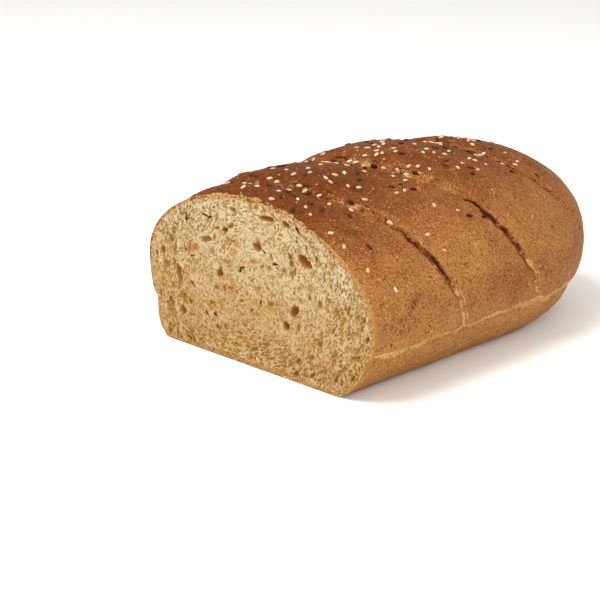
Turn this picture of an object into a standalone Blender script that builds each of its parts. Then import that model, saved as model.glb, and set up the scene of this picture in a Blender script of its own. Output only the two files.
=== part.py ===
"""Spelt bread loaf, cut across.

A tin-baked loaf: a low base with upright sides from the tin, a torn seam round the tin's rim and
a swollen dome above it with three slanting slashes. Sesame and linseed are baked into its crest.
The front is the flat face that the knife left, with the larger gas holes open in it.

The loaf lies along Y with the cut facing -Y, stands on z = 0 and is centred in x and y.
Sizes below are in millimetres. In the loaf's own layout y is 0 at the cut, and an angle of 0
points up from the core line to the crest, +90 to the right flank and -90 to the left flank.
"""
import math
from collections import namedtuple

import bmesh
import bpy
import numpy as np
from mathutils import Matrix, Vector
from mathutils.bvhtree import BVHTree

MM = 0.001

# ---- driving dimensions ------------------------------------------------------------------

CUT_HEIGHT = 76.0       # from the table to the crest, at the cut
RIM_HEIGHT = 18.5       # the tin's rim, where the dome tore free of the base
CORE_HEIGHT = 36.0      # the line inside the loaf that its surface is drawn outwards from
CORE_LENGTH = 107.0     # from the cut to where the far end starts to round off

# One wall of the loaf, as seen along or across it: its widest reach and that point's height, the
# roundness of the dome above it, its reach at the rim, how far the base draws in from the rim
# down to the table, and the height and depth of its rounded lower corner.
Wall = namedtuple("Wall", "reach height roundness rim draft corner tuck")
RIGHT = Wall(69.2, 31.0, 1.74, 64.5, 6.0, 16.0, 11.3)
LEFT = Wall(70.8, 38.0, 1.97, 65.8, 0.0, 12.0, 9.0)
END = Wall(90.0, 39.3, 2.58, 81.8, 7.6, 11.0, 17.6)
DOME_ROUNDNESS = 1.885   # how the far end turns from flank to flank, seen from above
BASE_ROUNDNESS = 1.96

SWELL_AT = 99.0         # the loaf is fullest here
SWELL_SPREAD = 46.0
SWELL_UP = 0.06         # share by which it stands taller there than at the cut
SWELL_RIGHT = -0.025
SWELL_LEFT = -0.005

# A slash runs straight across the left of the crest at y = crest, and slants down the right
# flank to y = seam at the rim.
Slash = namedtuple("Slash", "crest seam")
SLASHES = (Slash(15.5, 58.0), Slash(64.0, 111.0), Slash(123.0, 168.0))
SLASH_BEND = 20.0       # degrees over which a slash turns from straight across to slanting
SEAM_ANGLE = 104.0      # where the right flank meets the rim
STRIP_RISE = (5.6, 5.8, 5.6, 4.0)   # how far each strip between the slashes puffs up
STRIP_CROWN = 2.5       # the power of the puffed strip's curve
STRIP_SKEW = 0.65       # below 1 puffs a strip up most behind its near slash
LAST_STRIP = 50.0       # length of the strip behind the last slash
LEFT_FADE = (-75.0, -35.0)          # angles over which slashes and strips die out on the left
RIGHT_FADE = (105.0, 70.0)
CUT_RAMP = 4.0          # the knife's face is level, so the relief grows from nothing behind it
FLANK_TURN = (-20.0, 35.0)          # angles over which the relief lowers from crest to flank
FLANK_SHARE = 0.35
GROOVE_DEPTH = 1.1
GROOVE_WIDTH = (3.0, 1.6)           # at the crest, where the slash gapes, and on the flank
GROOVE_END = (92.0, 78.0)
LIP_RISE = 1.2          # the far edge of each slash curls up
SEAM_DEPTH = 1.3
SEAM_WIDTH = 1.4

GRID_STEP = 1.8         # spacing of the surface before it is thinned out
FLANK_STEP = 1.5
CRUST_TRIANGLES = 4120
OVERCUT = 3.0           # material beyond the table and the cut, trimmed off flat

# A gas hole in the cut: x, z, longest and shortest width, tilt in degrees.
Hole = namedtuple("Hole", "x z long short tilt")
HOLES = (
    Hole(29.1, 53.4, 8.6, 4.4, -32), Hole(6.6, 67.5, 8.0, 2.6, 2), Hole(18.0, 67.0, 5.0, 2.4, -6),
    Hole(0.9, 54.1, 6.2, 3.2, -12), Hole(-31.1, 51.4, 6.6, 3.0, 12), Hole(-19.2, 57.7, 3.6, 2.6, 20),
    Hole(-22.9, 37.6, 4.2, 3.4, 60), Hole(-60.7, 40.8, 4.4, 2.6, 80), Hole(-49.8, 31.5, 9.0, 3.6, -72),
    Hole(23.2, 30.8, 5.4, 4.2, 60), Hole(18.4, 23.4, 4.2, 3.4, 10), Hole(-47.7, 15.3, 4.4, 3.4, 70),
)
HOLE_DEPTH = 0.75       # as a share of the hole's longest width
HOLE_FORWARD = 0.3      # a hole's middle lies this far in front of the cut

# A seed's length, width and thickness, and how far its middle is raised off the crust.
Seed = namedtuple("Seed", "length width thick raised")
SESAME = Seed(2.75, 1.6, 0.95, 0.08)
LINSEED = Seed(3.4, 1.7, 1.05, 0.08)
SEED_SIDES = 5
SEED_RINGS = 4
SEED_TAPER = 0.35
SEED_VARIATION = 0.12
SEED_GAP = 3.9          # least spacing between two seeds' centres
SEED_COUNTS = ((LINSEED, 48), (SESAME, 96))
SEED_START = 1.5        # nearest to the cut
SEED_END = 190.0
SEED_ANGLES = (-70.0, 62.0)
SEED_CREST = 46.0       # spread of the seeded band, in degrees either side of its middle
SEED_MIDDLE = -3.0
SEED_RANDOM = 11
ROLL_REACH = 6.0        # a seed that fell this close to a slash rolled into it
ROLL_SHARE = 0.75
ROLLED_SPIN = (-78.0, -48.0)        # a seed in a slash lies along it
SLOPE_STEP = 1.2        # degrees and millimetres over which the crust's slope is read
END_TURN = 60.0         # length over which a ray from the core's end turns to face backwards

# Seeds that rolled off the crest and stuck to the flank by themselves: kind, angle, y.
STRAY_SEEDS = (
    (SESAME, 72, 8), (SESAME, 81, 17), (SESAME, 65, 51), (SESAME, 73, 54), (SESAME, 58, 77),
    (LINSEED, 63, 17), (LINSEED, 62, 81), (LINSEED, 64, 90),
)


# ---- the loaf's form ---------------------------------------------------------------------

def wall_reach(wall, height):
    """Distance from the core plane to a wall's surface at a height above the table."""
    height = np.clip(height, 0.0, CUT_HEIGHT)
    above = np.clip((height - wall.height) / (CUT_HEIGHT - wall.height), 0.0, 1.0)
    dome = wall.reach * (1.0 - above ** wall.roundness) ** (1.0 / wall.roundness)
    below = np.clip((wall.height - height) / (wall.height - RIM_HEIGHT), 0.0, 1.0)
    bulge = wall.rim + (wall.reach - wall.rim) * np.sqrt(1.0 - below ** 2)
    drawn_in = wall.draft * np.clip(1.0 - height / RIM_HEIGHT, 0.0, 1.0)
    corner = np.clip(1.0 - height / wall.corner, 0.0, 1.0)
    base = wall.rim - drawn_in - wall.tuck * (1.0 - np.sqrt(1.0 - corner ** 2))
    return np.where(height >= wall.height, dome, np.where(height >= RIM_HEIGHT, bulge, base))


def swell(y):
    """0 at the cut, rising towards 1 where the loaf is fullest."""
    def bell(at):
        return np.exp(-(((at - SWELL_AT) / SWELL_SPREAD) ** 2))
    return bell(y) - bell(0.0)


def is_inside(points):
    """Whether each point lies inside the loaf, before slashes, strips and seam are added."""
    x, y, z = points[..., 0], points[..., 1], points[..., 2]
    risen = RIM_HEIGHT + (z - RIM_HEIGHT) / (1.0 + SWELL_UP * swell(y))
    level = np.where(z > RIM_HEIGHT, risen, z)
    right = wall_reach(RIGHT, level) * (1.0 + SWELL_RIGHT * swell(y))
    left = wall_reach(LEFT, level) * (1.0 + SWELL_LEFT * swell(y))
    across = np.abs(x) / np.maximum(np.where(x > 0.0, right, left), 1e-4)
    along = np.maximum(y - CORE_LENGTH, 0.0) / np.maximum(wall_reach(END, level), 1e-4)
    roundness = np.where(level < RIM_HEIGHT, BASE_ROUNDNESS, DOME_ROUNDNESS)
    in_plan = across ** roundness + along ** roundness <= 1.0
    return in_plan & (level <= CUT_HEIGHT) & (level >= -OVERCUT)


def smooth_step(start, end, value):
    """0 at start, 1 at end, eased at both."""
    share = np.clip((value - start) / (end - start), 0.0, 1.0)
    return share * share * (3.0 - 2.0 * share)


def slash_line(slash, angle):
    """The y of a slash at an angle round the loaf."""
    bent = 0.5 * (angle + np.hypot(angle, SLASH_BEND))
    return slash.crest + (slash.seam - slash.crest) * bent / SEAM_ANGLE


def relief(points):
    """How far the surface stands out from the plain form: strips, slashes and the torn seam."""
    x, y, z = points[..., 0], points[..., 1], points[..., 2]
    angle = np.degrees(np.arctan2(x, z - CORE_HEIGHT))
    lines = [slash_line(slash, angle) for slash in SLASHES]
    edges = [2.0 * lines[0] - lines[1]] + lines + [lines[-1] + LAST_STRIP]
    height = np.zeros(y.shape)
    for rise, near, far in zip(STRIP_RISE, edges, edges[1:]):
        across = np.clip((y - near) / (far - near), 0.0, 1.0) ** STRIP_SKEW
        height += rise * (1.0 - np.abs(2.0 * across - 1.0) ** STRIP_CROWN)
    flank = smooth_step(20.0, 60.0, angle)
    width = GROOVE_WIDTH[0] + (GROOVE_WIDTH[1] - GROOVE_WIDTH[0]) * flank
    side = 1.0 - (1.0 - FLANK_SHARE) * smooth_step(*FLANK_TURN, angle)
    for line in lines:
        height += LIP_RISE * np.exp(-(((y - line - 2.0 * width) / (1.5 * width)) ** 2))
    height *= side
    for line in lines:
        depth = GROOVE_DEPTH * (0.3 + 0.7 * side) * smooth_step(*GROOVE_END, angle)
        height -= depth * np.exp(-(((y - line) / width) ** 2))
    height *= smooth_step(*LEFT_FADE, angle) * smooth_step(*RIGHT_FADE, angle)
    height *= 1.0 - np.exp(-((np.maximum(y, 0.0) / CUT_RAMP) ** 2))
    return height - SEAM_DEPTH * np.exp(-(((z - RIM_HEIGHT) / SEAM_WIDTH) ** 2))


def on_surface(starts, rays):
    """Where rays from the core line leave the loaf."""
    rays = rays / np.linalg.norm(rays, axis=-1, keepdims=True)
    near = np.zeros(rays.shape[:-1])
    far = np.full(rays.shape[:-1], 2.0 * END.reach)
    for _ in range(28):
        middle = 0.5 * (near + far)
        inside = is_inside(starts + rays * middle[..., None])
        near = np.where(inside, middle, near)
        far = np.where(inside, far, middle)
    plain = starts + rays * near[..., None]
    return plain + rays * relief(plain)[..., None]


def crust_point(angle, y):
    """The crust's point at an angle round the loaf and a distance from the cut."""
    turn = np.radians(angle)
    back = np.maximum(y - CORE_LENGTH, 0.0) / END_TURN
    ray = np.stack([np.sin(turn), back, np.cos(turn)], axis=-1)
    start = np.stack([0.0 * y, np.minimum(y, CORE_LENGTH), 0.0 * y + CORE_HEIGHT], axis=-1)
    return on_surface(start, ray)


def centring():
    """The shift that centres the loaf in x and y."""
    levels = np.linspace(0.0, CUT_HEIGHT, 200)
    stations = np.linspace(0.0, CORE_LENGTH, 200)
    right = wall_reach(RIGHT, levels).max() * (1.0 + SWELL_RIGHT * swell(stations)).max()
    left = wall_reach(LEFT, levels).max() * (1.0 + SWELL_LEFT * swell(stations)).max()
    return Vector((0.5 * (left - right), -0.5 * (CORE_LENGTH + END.reach), 0.0))


# ---- scene helpers -----------------------------------------------------------------------

def clear_scene():
    for old in list(bpy.data.objects):
        bpy.data.objects.remove(old, do_unlink=True)


def new_collection(name):
    collection = bpy.data.collections.new(name)
    bpy.context.scene.collection.children.link(collection)
    return collection


def new_material(name, colour, roughness):
    """A matt or softly glossy food surface; the colour is linear."""
    material = bpy.data.materials.new(name)
    material.use_nodes = True
    material.diffuse_color = (*colour, 1.0)
    shader = material.node_tree.nodes["Principled BSDF"]
    shader.inputs["Base Color"].default_value = (*colour, 1.0)
    shader.inputs["Roughness"].default_value = roughness
    shader.inputs["Metallic"].default_value = 0.0
    return material


def new_object(name, mesh, collection, material):
    obj = bpy.data.objects.new(name, mesh)
    collection.objects.link(obj)
    mesh.materials.append(material)
    return obj


def mesh_from(bm, name):
    mesh = bpy.data.meshes.new(name)
    bm.to_mesh(mesh)
    bm.free()
    return mesh


def apply_modifiers(obj):
    """Replaces an object's mesh with what its modifiers make of it."""
    depsgraph = bpy.context.evaluated_depsgraph_get()
    finished = bpy.data.meshes.new_from_object(obj.evaluated_get(depsgraph))
    obj.modifiers.clear()
    unused = obj.data
    obj.data = finished
    bpy.data.meshes.remove(unused)


# ---- the crust and the cut ---------------------------------------------------------------

def box_grid():
    """A box round the loaf, cut into a fine grid that the form is drawn from."""
    half_width = LEFT.reach
    low = Vector((-half_width, -OVERCUT, -OVERCUT))
    high = Vector((half_width, CORE_LENGTH + END.reach, CUT_HEIGHT))
    bm = bmesh.new()
    bmesh.ops.create_cube(bm, size=1.0)
    for vert in bm.verts:
        vert.co = Vector(low[i] + (high[i] - low[i]) * (vert.co[i] + 0.5) for i in range(3))
    for axis, step in enumerate((GRID_STEP, GRID_STEP, FLANK_STEP)):
        run = [edge for edge in bm.edges if abs((edge.verts[0].co - edge.verts[1].co)[axis]) > 1e-3]
        cuts = round((high[axis] - low[axis]) / step) - 1
        bmesh.ops.subdivide_edges(bm, edges=run, cuts=cuts, use_grid_fill=True)
    return bm


def shape_loaf(bm):
    """Draws the box grid on to the loaf's surface, along rays from its core line."""
    box = np.array([vert.co[:] for vert in bm.verts])
    starts = np.zeros(box.shape)
    starts[:, 1] = np.minimum(box[:, 1], CORE_LENGTH)
    starts[:, 2] = CORE_HEIGHT
    front = box[:, 1] < -OVERCUT + 1e-3
    rim = np.abs(box[:, 0]) > LEFT.reach - 1e-3
    rim |= (box[:, 2] > CUT_HEIGHT - 1e-3) | (box[:, 2] < -OVERCUT + 1e-3)
    shaped = on_surface(starts, box - starts + [0.0, 1e-6, 0.0])
    face = front & ~rim
    share = box_share(box[face])
    outline = on_surface(starts[face], share.ray)
    shaped[face] = starts[face] + (outline - starts[face]) * share.part[:, None]
    for vert, place in zip(bm.verts, shaped):
        vert.co = place


Share = namedtuple("Share", "ray part")


def box_share(points):
    """For points on the box's front: the ray each lies on, and how far along it to the edge."""
    ray = points - [0.0, -OVERCUT, CORE_HEIGHT]
    up = np.where(ray[:, 2] > 0.0, CUT_HEIGHT - CORE_HEIGHT, CORE_HEIGHT + OVERCUT)
    part = np.maximum(np.abs(ray[:, 0]) / LEFT.reach, np.abs(ray[:, 2]) / up)
    ray[:, 1] = 0.0
    return Share(np.where(part[:, None] > 1e-6, ray, [0.0, 0.0, 1.0]), part)


def trim_flat(bm, place, outwards):
    """Cuts the loaf at a plane, closes it with one flat face and returns that face."""
    everything = bm.verts[:] + bm.edges[:] + bm.faces[:]
    cut = bmesh.ops.bisect_plane(bm, geom=everything, plane_co=place, plane_no=outwards, clear_outer=True)
    rim = [part for part in cut["geom_cut"] if isinstance(part, bmesh.types.BMEdge)]
    closed = bmesh.ops.contextual_create(bm, geom=rim)
    return closed["faces"]


def make_body(collection, crust, crumb):
    """The loaf without seeds or gas holes: shaped, thinned out, then cut flat below and in front."""
    bm = box_grid()
    shape_loaf(bm)
    bmesh.ops.recalc_face_normals(bm, faces=bm.faces[:])
    triangles = 2 * len(bm.faces)
    body = new_object("loaf", mesh_from(bm, "loaf"), collection, crust)
    body.data.materials.append(crumb)
    thinning = body.modifiers.new("thin out", "DECIMATE")
    thinning.ratio = CRUST_TRIANGLES / triangles
    apply_modifiers(body)
    bm = bmesh.new()
    bm.from_mesh(body.data)
    trim_flat(bm, (0.0, 0.0, 0.0), (0.0, 0.0, -1.0))
    for face in trim_flat(bm, (0.0, 0.0, 0.0), (0.0, -1.0, 0.0)):
        face.material_index = 1
    bmesh.ops.recalc_face_normals(bm, faces=bm.faces[:])
    bmesh.ops.triangulate(bm, faces=bm.faces[:])
    bm.to_mesh(body.data)
    bm.free()
    return body


def make_gas_holes(collection, crumb):
    """A squashed ball for each hole, half sunk in the cut."""
    for number, hole in enumerate(HOLES):
        bm = bmesh.new()
        bmesh.ops.create_uvsphere(bm, u_segments=8, v_segments=4, radius=0.5)
        size = Matrix.Diagonal((hole.long, 2.0 * HOLE_DEPTH * hole.long, hole.short, 1.0))
        turn = Matrix.Rotation(-math.radians(hole.tilt), 4, "Y")
        bm.transform(Matrix.Translation((hole.x, -HOLE_FORWARD, hole.z)) @ turn @ size)
        cutter = new_object(f"gas_hole_{number:02d}", mesh_from(bm, "gas_hole"), collection, crumb)
        cutter.hide_render = True
        cutter.display_type = "WIRE"


# ---- the seeds ---------------------------------------------------------------------------

def seed_chance(angle, y):
    """How thickly the crest is seeded at a place, from 0 to 1."""
    band = np.exp(-(((angle - SEED_MIDDLE) / SEED_CREST) ** 4))
    return band * smooth_step(SEED_END, SEED_END - 40.0, y)


def rolled(angle, y):
    """The y of a seed after it has rolled towards a slash beside it."""
    for slash in SLASHES:
        off = y - slash_line(slash, angle)
        y -= ROLL_SHARE * off * math.exp(-((off / ROLL_REACH) ** 2))
    return y


def seed_spin(turns, angle, y):
    """A seed's turn about the crust's normal: any, or along the slash that it lies in."""
    in_slash = min(abs(y - slash_line(slash, angle)) for slash in SLASHES) < 0.4 * ROLL_REACH
    return math.radians(turns.uniform(*ROLLED_SPIN) if in_slash else turns.uniform(0.0, 360.0))


def seed_places(random):
    """Kind, angle and y of every seed: the strays first, then the crest's, larger seeds first."""
    places = [(kind, float(angle), float(y)) for kind, angle, y in STRAY_SEEDS]
    centres = [crust_point(np.array(angle), np.array(y)) for _, angle, y in places]
    for kind, count in SEED_COUNTS:
        wanted = len(places) + count
        while len(places) < wanted:
            angle = random.uniform(*SEED_ANGLES)
            y = random.uniform(SEED_START, SEED_END)
            luck = random.uniform(0.0, 1.0)
            if luck > seed_chance(angle, y):
                continue
            y = rolled(angle, y)
            centre = crust_point(np.array(angle), np.array(y))
            if min(np.linalg.norm(centre - other) for other in centres) < SEED_GAP:
                continue
            places.append((kind, angle, y))
            centres.append(centre)
    return places


def seed_shape(kind, size):
    """A flattened drop along X, blunt at one end."""
    bm = bmesh.new()
    bmesh.ops.create_uvsphere(bm, u_segments=SEED_SIDES, v_segments=SEED_RINGS, radius=0.5)
    for vert in bm.verts:
        along = vert.co.z
        taper = 1.0 - SEED_TAPER * along
        vert.co = Vector((along * kind.length, vert.co.x * kind.width * taper, vert.co.y * kind.thick * taper))
    bmesh.ops.scale(bm, vec=(size, size, size), verts=bm.verts[:])
    bmesh.ops.recalc_face_normals(bm, faces=bm.faces[:])
    return bm


def seed_placing(kind, angle, y, spin, crust_tree):
    """The move that lays a seed on the crust, turned by spin about the crust's normal."""
    angles = np.array([angle, angle + SLOPE_STEP, angle - SLOPE_STEP, angle, angle])
    ys = np.array([y, y, y, y + SLOPE_STEP, y - SLOPE_STEP])
    middle, right, left, back, front = (Vector(point) for point in crust_point(angles, ys))
    outwards = (right - left).cross(back - front).normalized()
    if outwards.dot(middle - Vector((0.0, min(y, CORE_LENGTH), CORE_HEIGHT))) < 0.0:
        outwards.negate()
    along = (Matrix.Rotation(spin, 3, outwards) @ (back - front)).normalized()
    turned = Matrix((along, outwards.cross(along), outwards)).transposed().to_4x4()
    ground = crust_tree.find_nearest(middle)[0]
    return Matrix.Translation(ground + outwards * kind.raised) @ turned


def make_seeds(collection, body, sesame, linseed):
    """Every seed as an object of its own, sunk a little into the loaf's crust."""
    turns = np.random.RandomState(SEED_RANDOM + 1)
    bm = bmesh.new()
    bm.from_mesh(body.data)
    crust_tree = BVHTree.FromBMesh(bm)
    bm.free()
    for number, (kind, angle, y) in enumerate(seed_places(np.random.RandomState(SEED_RANDOM))):
        spin = seed_spin(turns, angle, y)
        size = 1.0 + SEED_VARIATION * turns.uniform(-1.0, 1.0)
        bm = seed_shape(kind, size)
        bm.transform(seed_placing(kind, angle, y, spin, crust_tree))
        material = sesame if kind is SESAME else linseed
        new_object(f"seed_{number:03d}", mesh_from(bm, "seed"), collection, material)


# ---- the whole loaf ----------------------------------------------------------------------

def join_with(body, operation, collection):
    """Cuts a whole collection out of the loaf, or fuses it on, and leaves the loaf in triangles."""
    boolean = body.modifiers.new(operation.lower(), "BOOLEAN")
    boolean.operation = operation
    boolean.operand_type = "COLLECTION"
    boolean.collection = collection
    boolean.solver = "EXACT"
    boolean.material_mode = "TRANSFER"
    apply_modifiers(body)
    bm = bmesh.new()
    bm.from_mesh(body.data)
    bmesh.ops.triangulate(bm, faces=bm.faces[:])
    bm.to_mesh(body.data)
    bm.free()


def main():
    clear_scene()
    loaf_collection = new_collection("spelt_bread_loaf")
    cutters = new_collection("cutters")
    toppings = new_collection("toppings")
    crust = new_material("baked crust", (0.27, 0.105, 0.033), 0.55)
    crumb = new_material("spelt crumb", (0.66, 0.46, 0.24), 0.85)
    sesame = new_material("toasted sesame", (0.78, 0.58, 0.34), 0.5)
    linseed = new_material("brown linseed", (0.045, 0.024, 0.016), 0.35)

    body = make_body(loaf_collection, crust, crumb)
    make_gas_holes(cutters, crumb)
    join_with(body, "DIFFERENCE", cutters)
    make_seeds(toppings, body, sesame, linseed)
    join_with(body, "UNION", toppings)
    for seed in list(toppings.objects):
        bpy.data.objects.remove(seed, do_unlink=True)
    bpy.data.collections.remove(toppings)

    bm = bmesh.new()
    bm.from_mesh(body.data)
    to_metres = Matrix.Scale(MM, 4) @ Matrix.Translation(centring())
    bm.transform(to_metres)
    bm.to_mesh(body.data)
    bm.free()
    for cutter in cutters.objects:
        cutter.data.transform(to_metres)


if __name__ == "__main__":
    main()
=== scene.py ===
"""Looks of a spelt bread loaf, cut across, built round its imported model.

The loaf is baked in a tin: a low base with upright sides, a torn seam round the tin's rim, and a
swollen dome with three slanting slashes. Sesame and linseed are baked into its crest, and the cut
shows an open, golden crumb.

Sizes are in millimetres. In the loaf's own layout y is 0 at the cut, and an angle of 0 points up
from the core line to the crest, +90 to the right flank and -90 to the left flank.
"""

import itertools
import math
from collections import namedtuple

import bpy
import numpy as np
from bpy.props import FloatProperty, FloatVectorProperty, IntProperty, PointerProperty
from mathutils import Matrix, Vector
from mathutils.bvhtree import BVHTree


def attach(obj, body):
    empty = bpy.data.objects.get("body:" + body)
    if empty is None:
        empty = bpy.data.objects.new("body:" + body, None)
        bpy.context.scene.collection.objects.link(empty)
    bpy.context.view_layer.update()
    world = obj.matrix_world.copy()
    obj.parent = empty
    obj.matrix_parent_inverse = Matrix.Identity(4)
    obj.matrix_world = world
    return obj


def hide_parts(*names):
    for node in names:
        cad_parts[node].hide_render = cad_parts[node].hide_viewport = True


bl_info = {
    "name": "Spelt Bread Loaf",
    "version": (1, 0, 0),
    "blender": (4, 5, 0),
    "location": "3D View > Sidebar > Bread",
    "description": "Dresses a cut spelt loaf with its crust, crumb, seeds, flakes and bran",
    "category": "Add Mesh",
}

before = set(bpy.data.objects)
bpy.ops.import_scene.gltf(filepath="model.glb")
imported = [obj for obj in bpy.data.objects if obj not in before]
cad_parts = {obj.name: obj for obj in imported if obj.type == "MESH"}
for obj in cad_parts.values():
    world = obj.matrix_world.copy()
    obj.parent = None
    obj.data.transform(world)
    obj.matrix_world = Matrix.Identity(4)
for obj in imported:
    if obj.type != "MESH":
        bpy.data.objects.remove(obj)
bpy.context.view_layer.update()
BODY = "root"
NODE = "loaf"
MM = 0.001

# ---- the loaf's form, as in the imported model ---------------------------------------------

CUT_HEIGHT = 76.0       # from the table to the crest, at the cut
RIM_HEIGHT = 18.5       # the tin's rim, where the dome tore free of the base
CORE_HEIGHT = 36.0      # the line inside the loaf that its surface is drawn outwards from
CORE_LENGTH = 107.0     # from the cut to where the far end starts to round off

# One wall of the loaf: its widest reach and that point's height, the roundness of the dome above
# it, its reach at the rim, how far the base draws in from the rim down to the table, and the
# height and depth of its rounded lower corner.
Wall = namedtuple("Wall", "reach height roundness rim draft corner tuck")
RIGHT = Wall(69.2, 31.0, 1.74, 64.5, 6.0, 16.0, 11.3)
LEFT = Wall(70.8, 38.0, 1.97, 65.8, 0.0, 12.0, 9.0)
END = Wall(90.0, 39.3, 2.58, 81.8, 7.6, 11.0, 17.6)
TIP = CORE_LENGTH + END.reach
DOME_ROUNDNESS = 1.885
BASE_ROUNDNESS = 1.96

SWELL_AT = 99.0
SWELL_SPREAD = 46.0
SWELL_UP = 0.06
SWELL_RIGHT = -0.025
SWELL_LEFT = -0.005

# A slash runs straight across the left of the crest at y = crest, and slants down the right
# flank to y = seam at the rim.
Slash = namedtuple("Slash", "crest seam")
SLASHES = (Slash(15.5, 58.0), Slash(64.0, 111.0), Slash(123.0, 168.0))
SLASH_BEND = 20.0       # degrees over which a slash turns from straight across to slanting
SEAM_ANGLE = 104.0
STRIP_RISE = (5.6, 5.8, 5.6, 4.0)
STRIP_CROWN = 2.5
STRIP_SKEW = 0.65
LAST_STRIP = 50.0
LEFT_FADE = (-75.0, -35.0)
RIGHT_FADE = (105.0, 70.0)
CUT_RAMP = 4.0
FLANK_TURN = (-20.0, 35.0)
FLANK_SHARE = 0.35
GROOVE_DEPTH = 1.1
GROOVE_WIDTH = (3.0, 1.6)
GROOVE_END = (92.0, 78.0)
LIP_RISE = 1.2
SEAM_DEPTH = 1.3
SEAM_WIDTH = 1.4
END_TURN = 60.0         # length over which a ray from the core's end turns to face backwards

HALVINGS = 26           # steps in which a ray closes in on the surface

# ---- the crust's fine surface ------------------------------------------------------------

CRUST_STEP = 0.83       # spacing of its faces
FINE_STEP = 0.38        # and beside a slash
FINE_REACH = 6.0
UNDERSIDE_SHARE = 0.3   # the flat underside needs fewer faces
FRONT_ROW = 0.2         # y of the first row
FIRST_SLASH_ROW = 3.0   # the first slash's row stays about this far back from the cut
FIRST_SLASH_EASE = 2.0
END_ARC = 1.12          # how much longer the way over the far end is than it is deep
FLUSH = 0.15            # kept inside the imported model's surface
FRONT_GAP = 0.12        # and behind the cut's plane
LIP_GAP = 0.25          # where the crust turns inwards at the cut
CRUST_THICKNESS = (0.7, 1.2)        # on the flanks and on the crest
RECESS = 7.0            # the crust wraps the crumb this far back from the cut
POLE_LEVEL = (9.0, 2.0)             # the far end is levelled between these distances of its pole

# How far a slash strays from its line, in mm, and over how many degrees.
WAVER = ((0.8, 11.0), (0.5, 3.5), (0.3, 1.5))
OPEN_FROM = (44.0, 34.0, 22.0)      # the angle from which each slash gapes
OPEN_OVER = 26.0                    # degrees over which it opens
FLANK_GAPE = (0.45, 0.5, 0.8)       # how wide its crack is there
CREST_GAPE = 0.85                   # and on the crest
CLOSED_FROM = (96.0, 96.0, 72.0)    # the angle from which each slash has closed again
CLOSED_OVER = 12.0
THREADED_FROM = 90.0    # a slash that closes beyond this angle runs out in pale threads
CREASES = ((2.6, 61), (-3.0, 64))   # creases beside a slash: distance from it, and random seed
# A pit in the crust: its angle, y and reach. The crack on the right flank runs between two
# places, each an angle and y.
Pit = namedtuple("Pit", "angle y reach")
PITS = (Pit(99.5, 11.2, 1.0), Pit(95.5, 1.4, 1.2), Pit(92.0, 1.8, 1.0), Pit(97.0, 34.0, 0.8))
FLANK_CRACK = ((85.0, 28.2), (91.0, 19.2))
CREST_SLOPE = (48.0, 10.0)          # its own texture fades in between these degrees down from it
BAKED_SLOPE = (88.0, 22.0)          # and the crust browns between these
OVEN_LEAN = 6.0         # degrees that the browning leans towards the left flank
END_SLOPE = 0.8         # share of the far end's slope that counts
IN_TIN = 0.3            # the most that the crust browns below the tin's rim

# Flecks of colour: how far their pattern is shifted, how far apart they lie, their reach, the share
# of them that shows, how strongly, and their colour.
Fleck = namedtuple("Fleck", "shift apart reach kept strength colour")
CRUST_BRAN = (Fleck(0.0, 1.0, 0.6, 0.75, 0.95, "#6B3710"), Fleck(0.17, 2.2, 0.8, 0.5, 0.7, "#64300C"))
CRUST_HUSK = Fleck(0.31, 1.6, 0.55, 0.45, 0.75, "#C89F66")
CRUMB_BRAN = Fleck(0.0, 1.7, 0.5, 0.35, 0.75, "#5A3519")

# ---- the crumb ---------------------------------------------------------------------------

CRUMB_COLUMNS = 396
CRUMB_ROWS = 226
CRUMB_HALF = 71.0       # half the width that its columns span before they are fitted to the cut
CRUMB_LAP = 0.12        # how far the crumb's edge reaches into the crust, so that no gap shows
CRUMB_FRONT = 0.02      # y of the knife's cut
CRUMB_GAP = 0.5         # between the back of the crumb and the crust behind it
EDGE_DEPTH = 0.2        # depth of the crumb's own edge
DEEPEST = 2.2           # the depth at which the crumb is most golden and darkest, partly its cells' own tone and partly painted shade
MAP_LOW = (-74.0, -1.0)             # x and z of the map that the pores are drawn on
MAP_SIZE = (148.0, 80.0)
PORE_STEP = 0.16        # and the spacing of its points
PORE_ACROSS = (-71.0, 70.0)
PORE_EDGE = 0.985       # no fine pore lies beyond this share of the way to the cut's edge
PORE_RANDOM = 23
SWIRL = (-7.0, 42.0)    # x and z that the crumb's pores curl round

# A gas hole in the cut: x, z, longest and shortest width, tilt in degrees, depth.
Hole = namedtuple("Hole", "x z long short tilt depth")
HOLES = (
    Hole(29.1, 53.4, 8.6, 4.4, -32, 2.2), Hole(6.6, 67.5, 8.0, 2.6, 2, 1.7),
    Hole(18.0, 67.0, 5.0, 2.4, -6, 1.7), Hole(0.9, 54.1, 6.2, 3.2, -12, 1.8),
    Hole(-31.1, 51.4, 6.6, 3.0, 12, 1.3), Hole(-19.2, 57.7, 3.6, 2.6, 20, 1.8),
    Hole(-22.9, 37.6, 4.2, 3.4, 60, 1.9), Hole(-60.7, 40.8, 4.4, 2.6, 80, 1.6),
    Hole(-49.8, 31.5, 9.0, 3.6, -72, 1.6), Hole(23.2, 30.8, 5.4, 4.2, 60, 2.0),
    Hole(18.4, 23.4, 4.2, 3.4, 10, 2.1), Hole(-47.7, 15.3, 4.4, 3.4, 70, 1.6),
)

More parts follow.
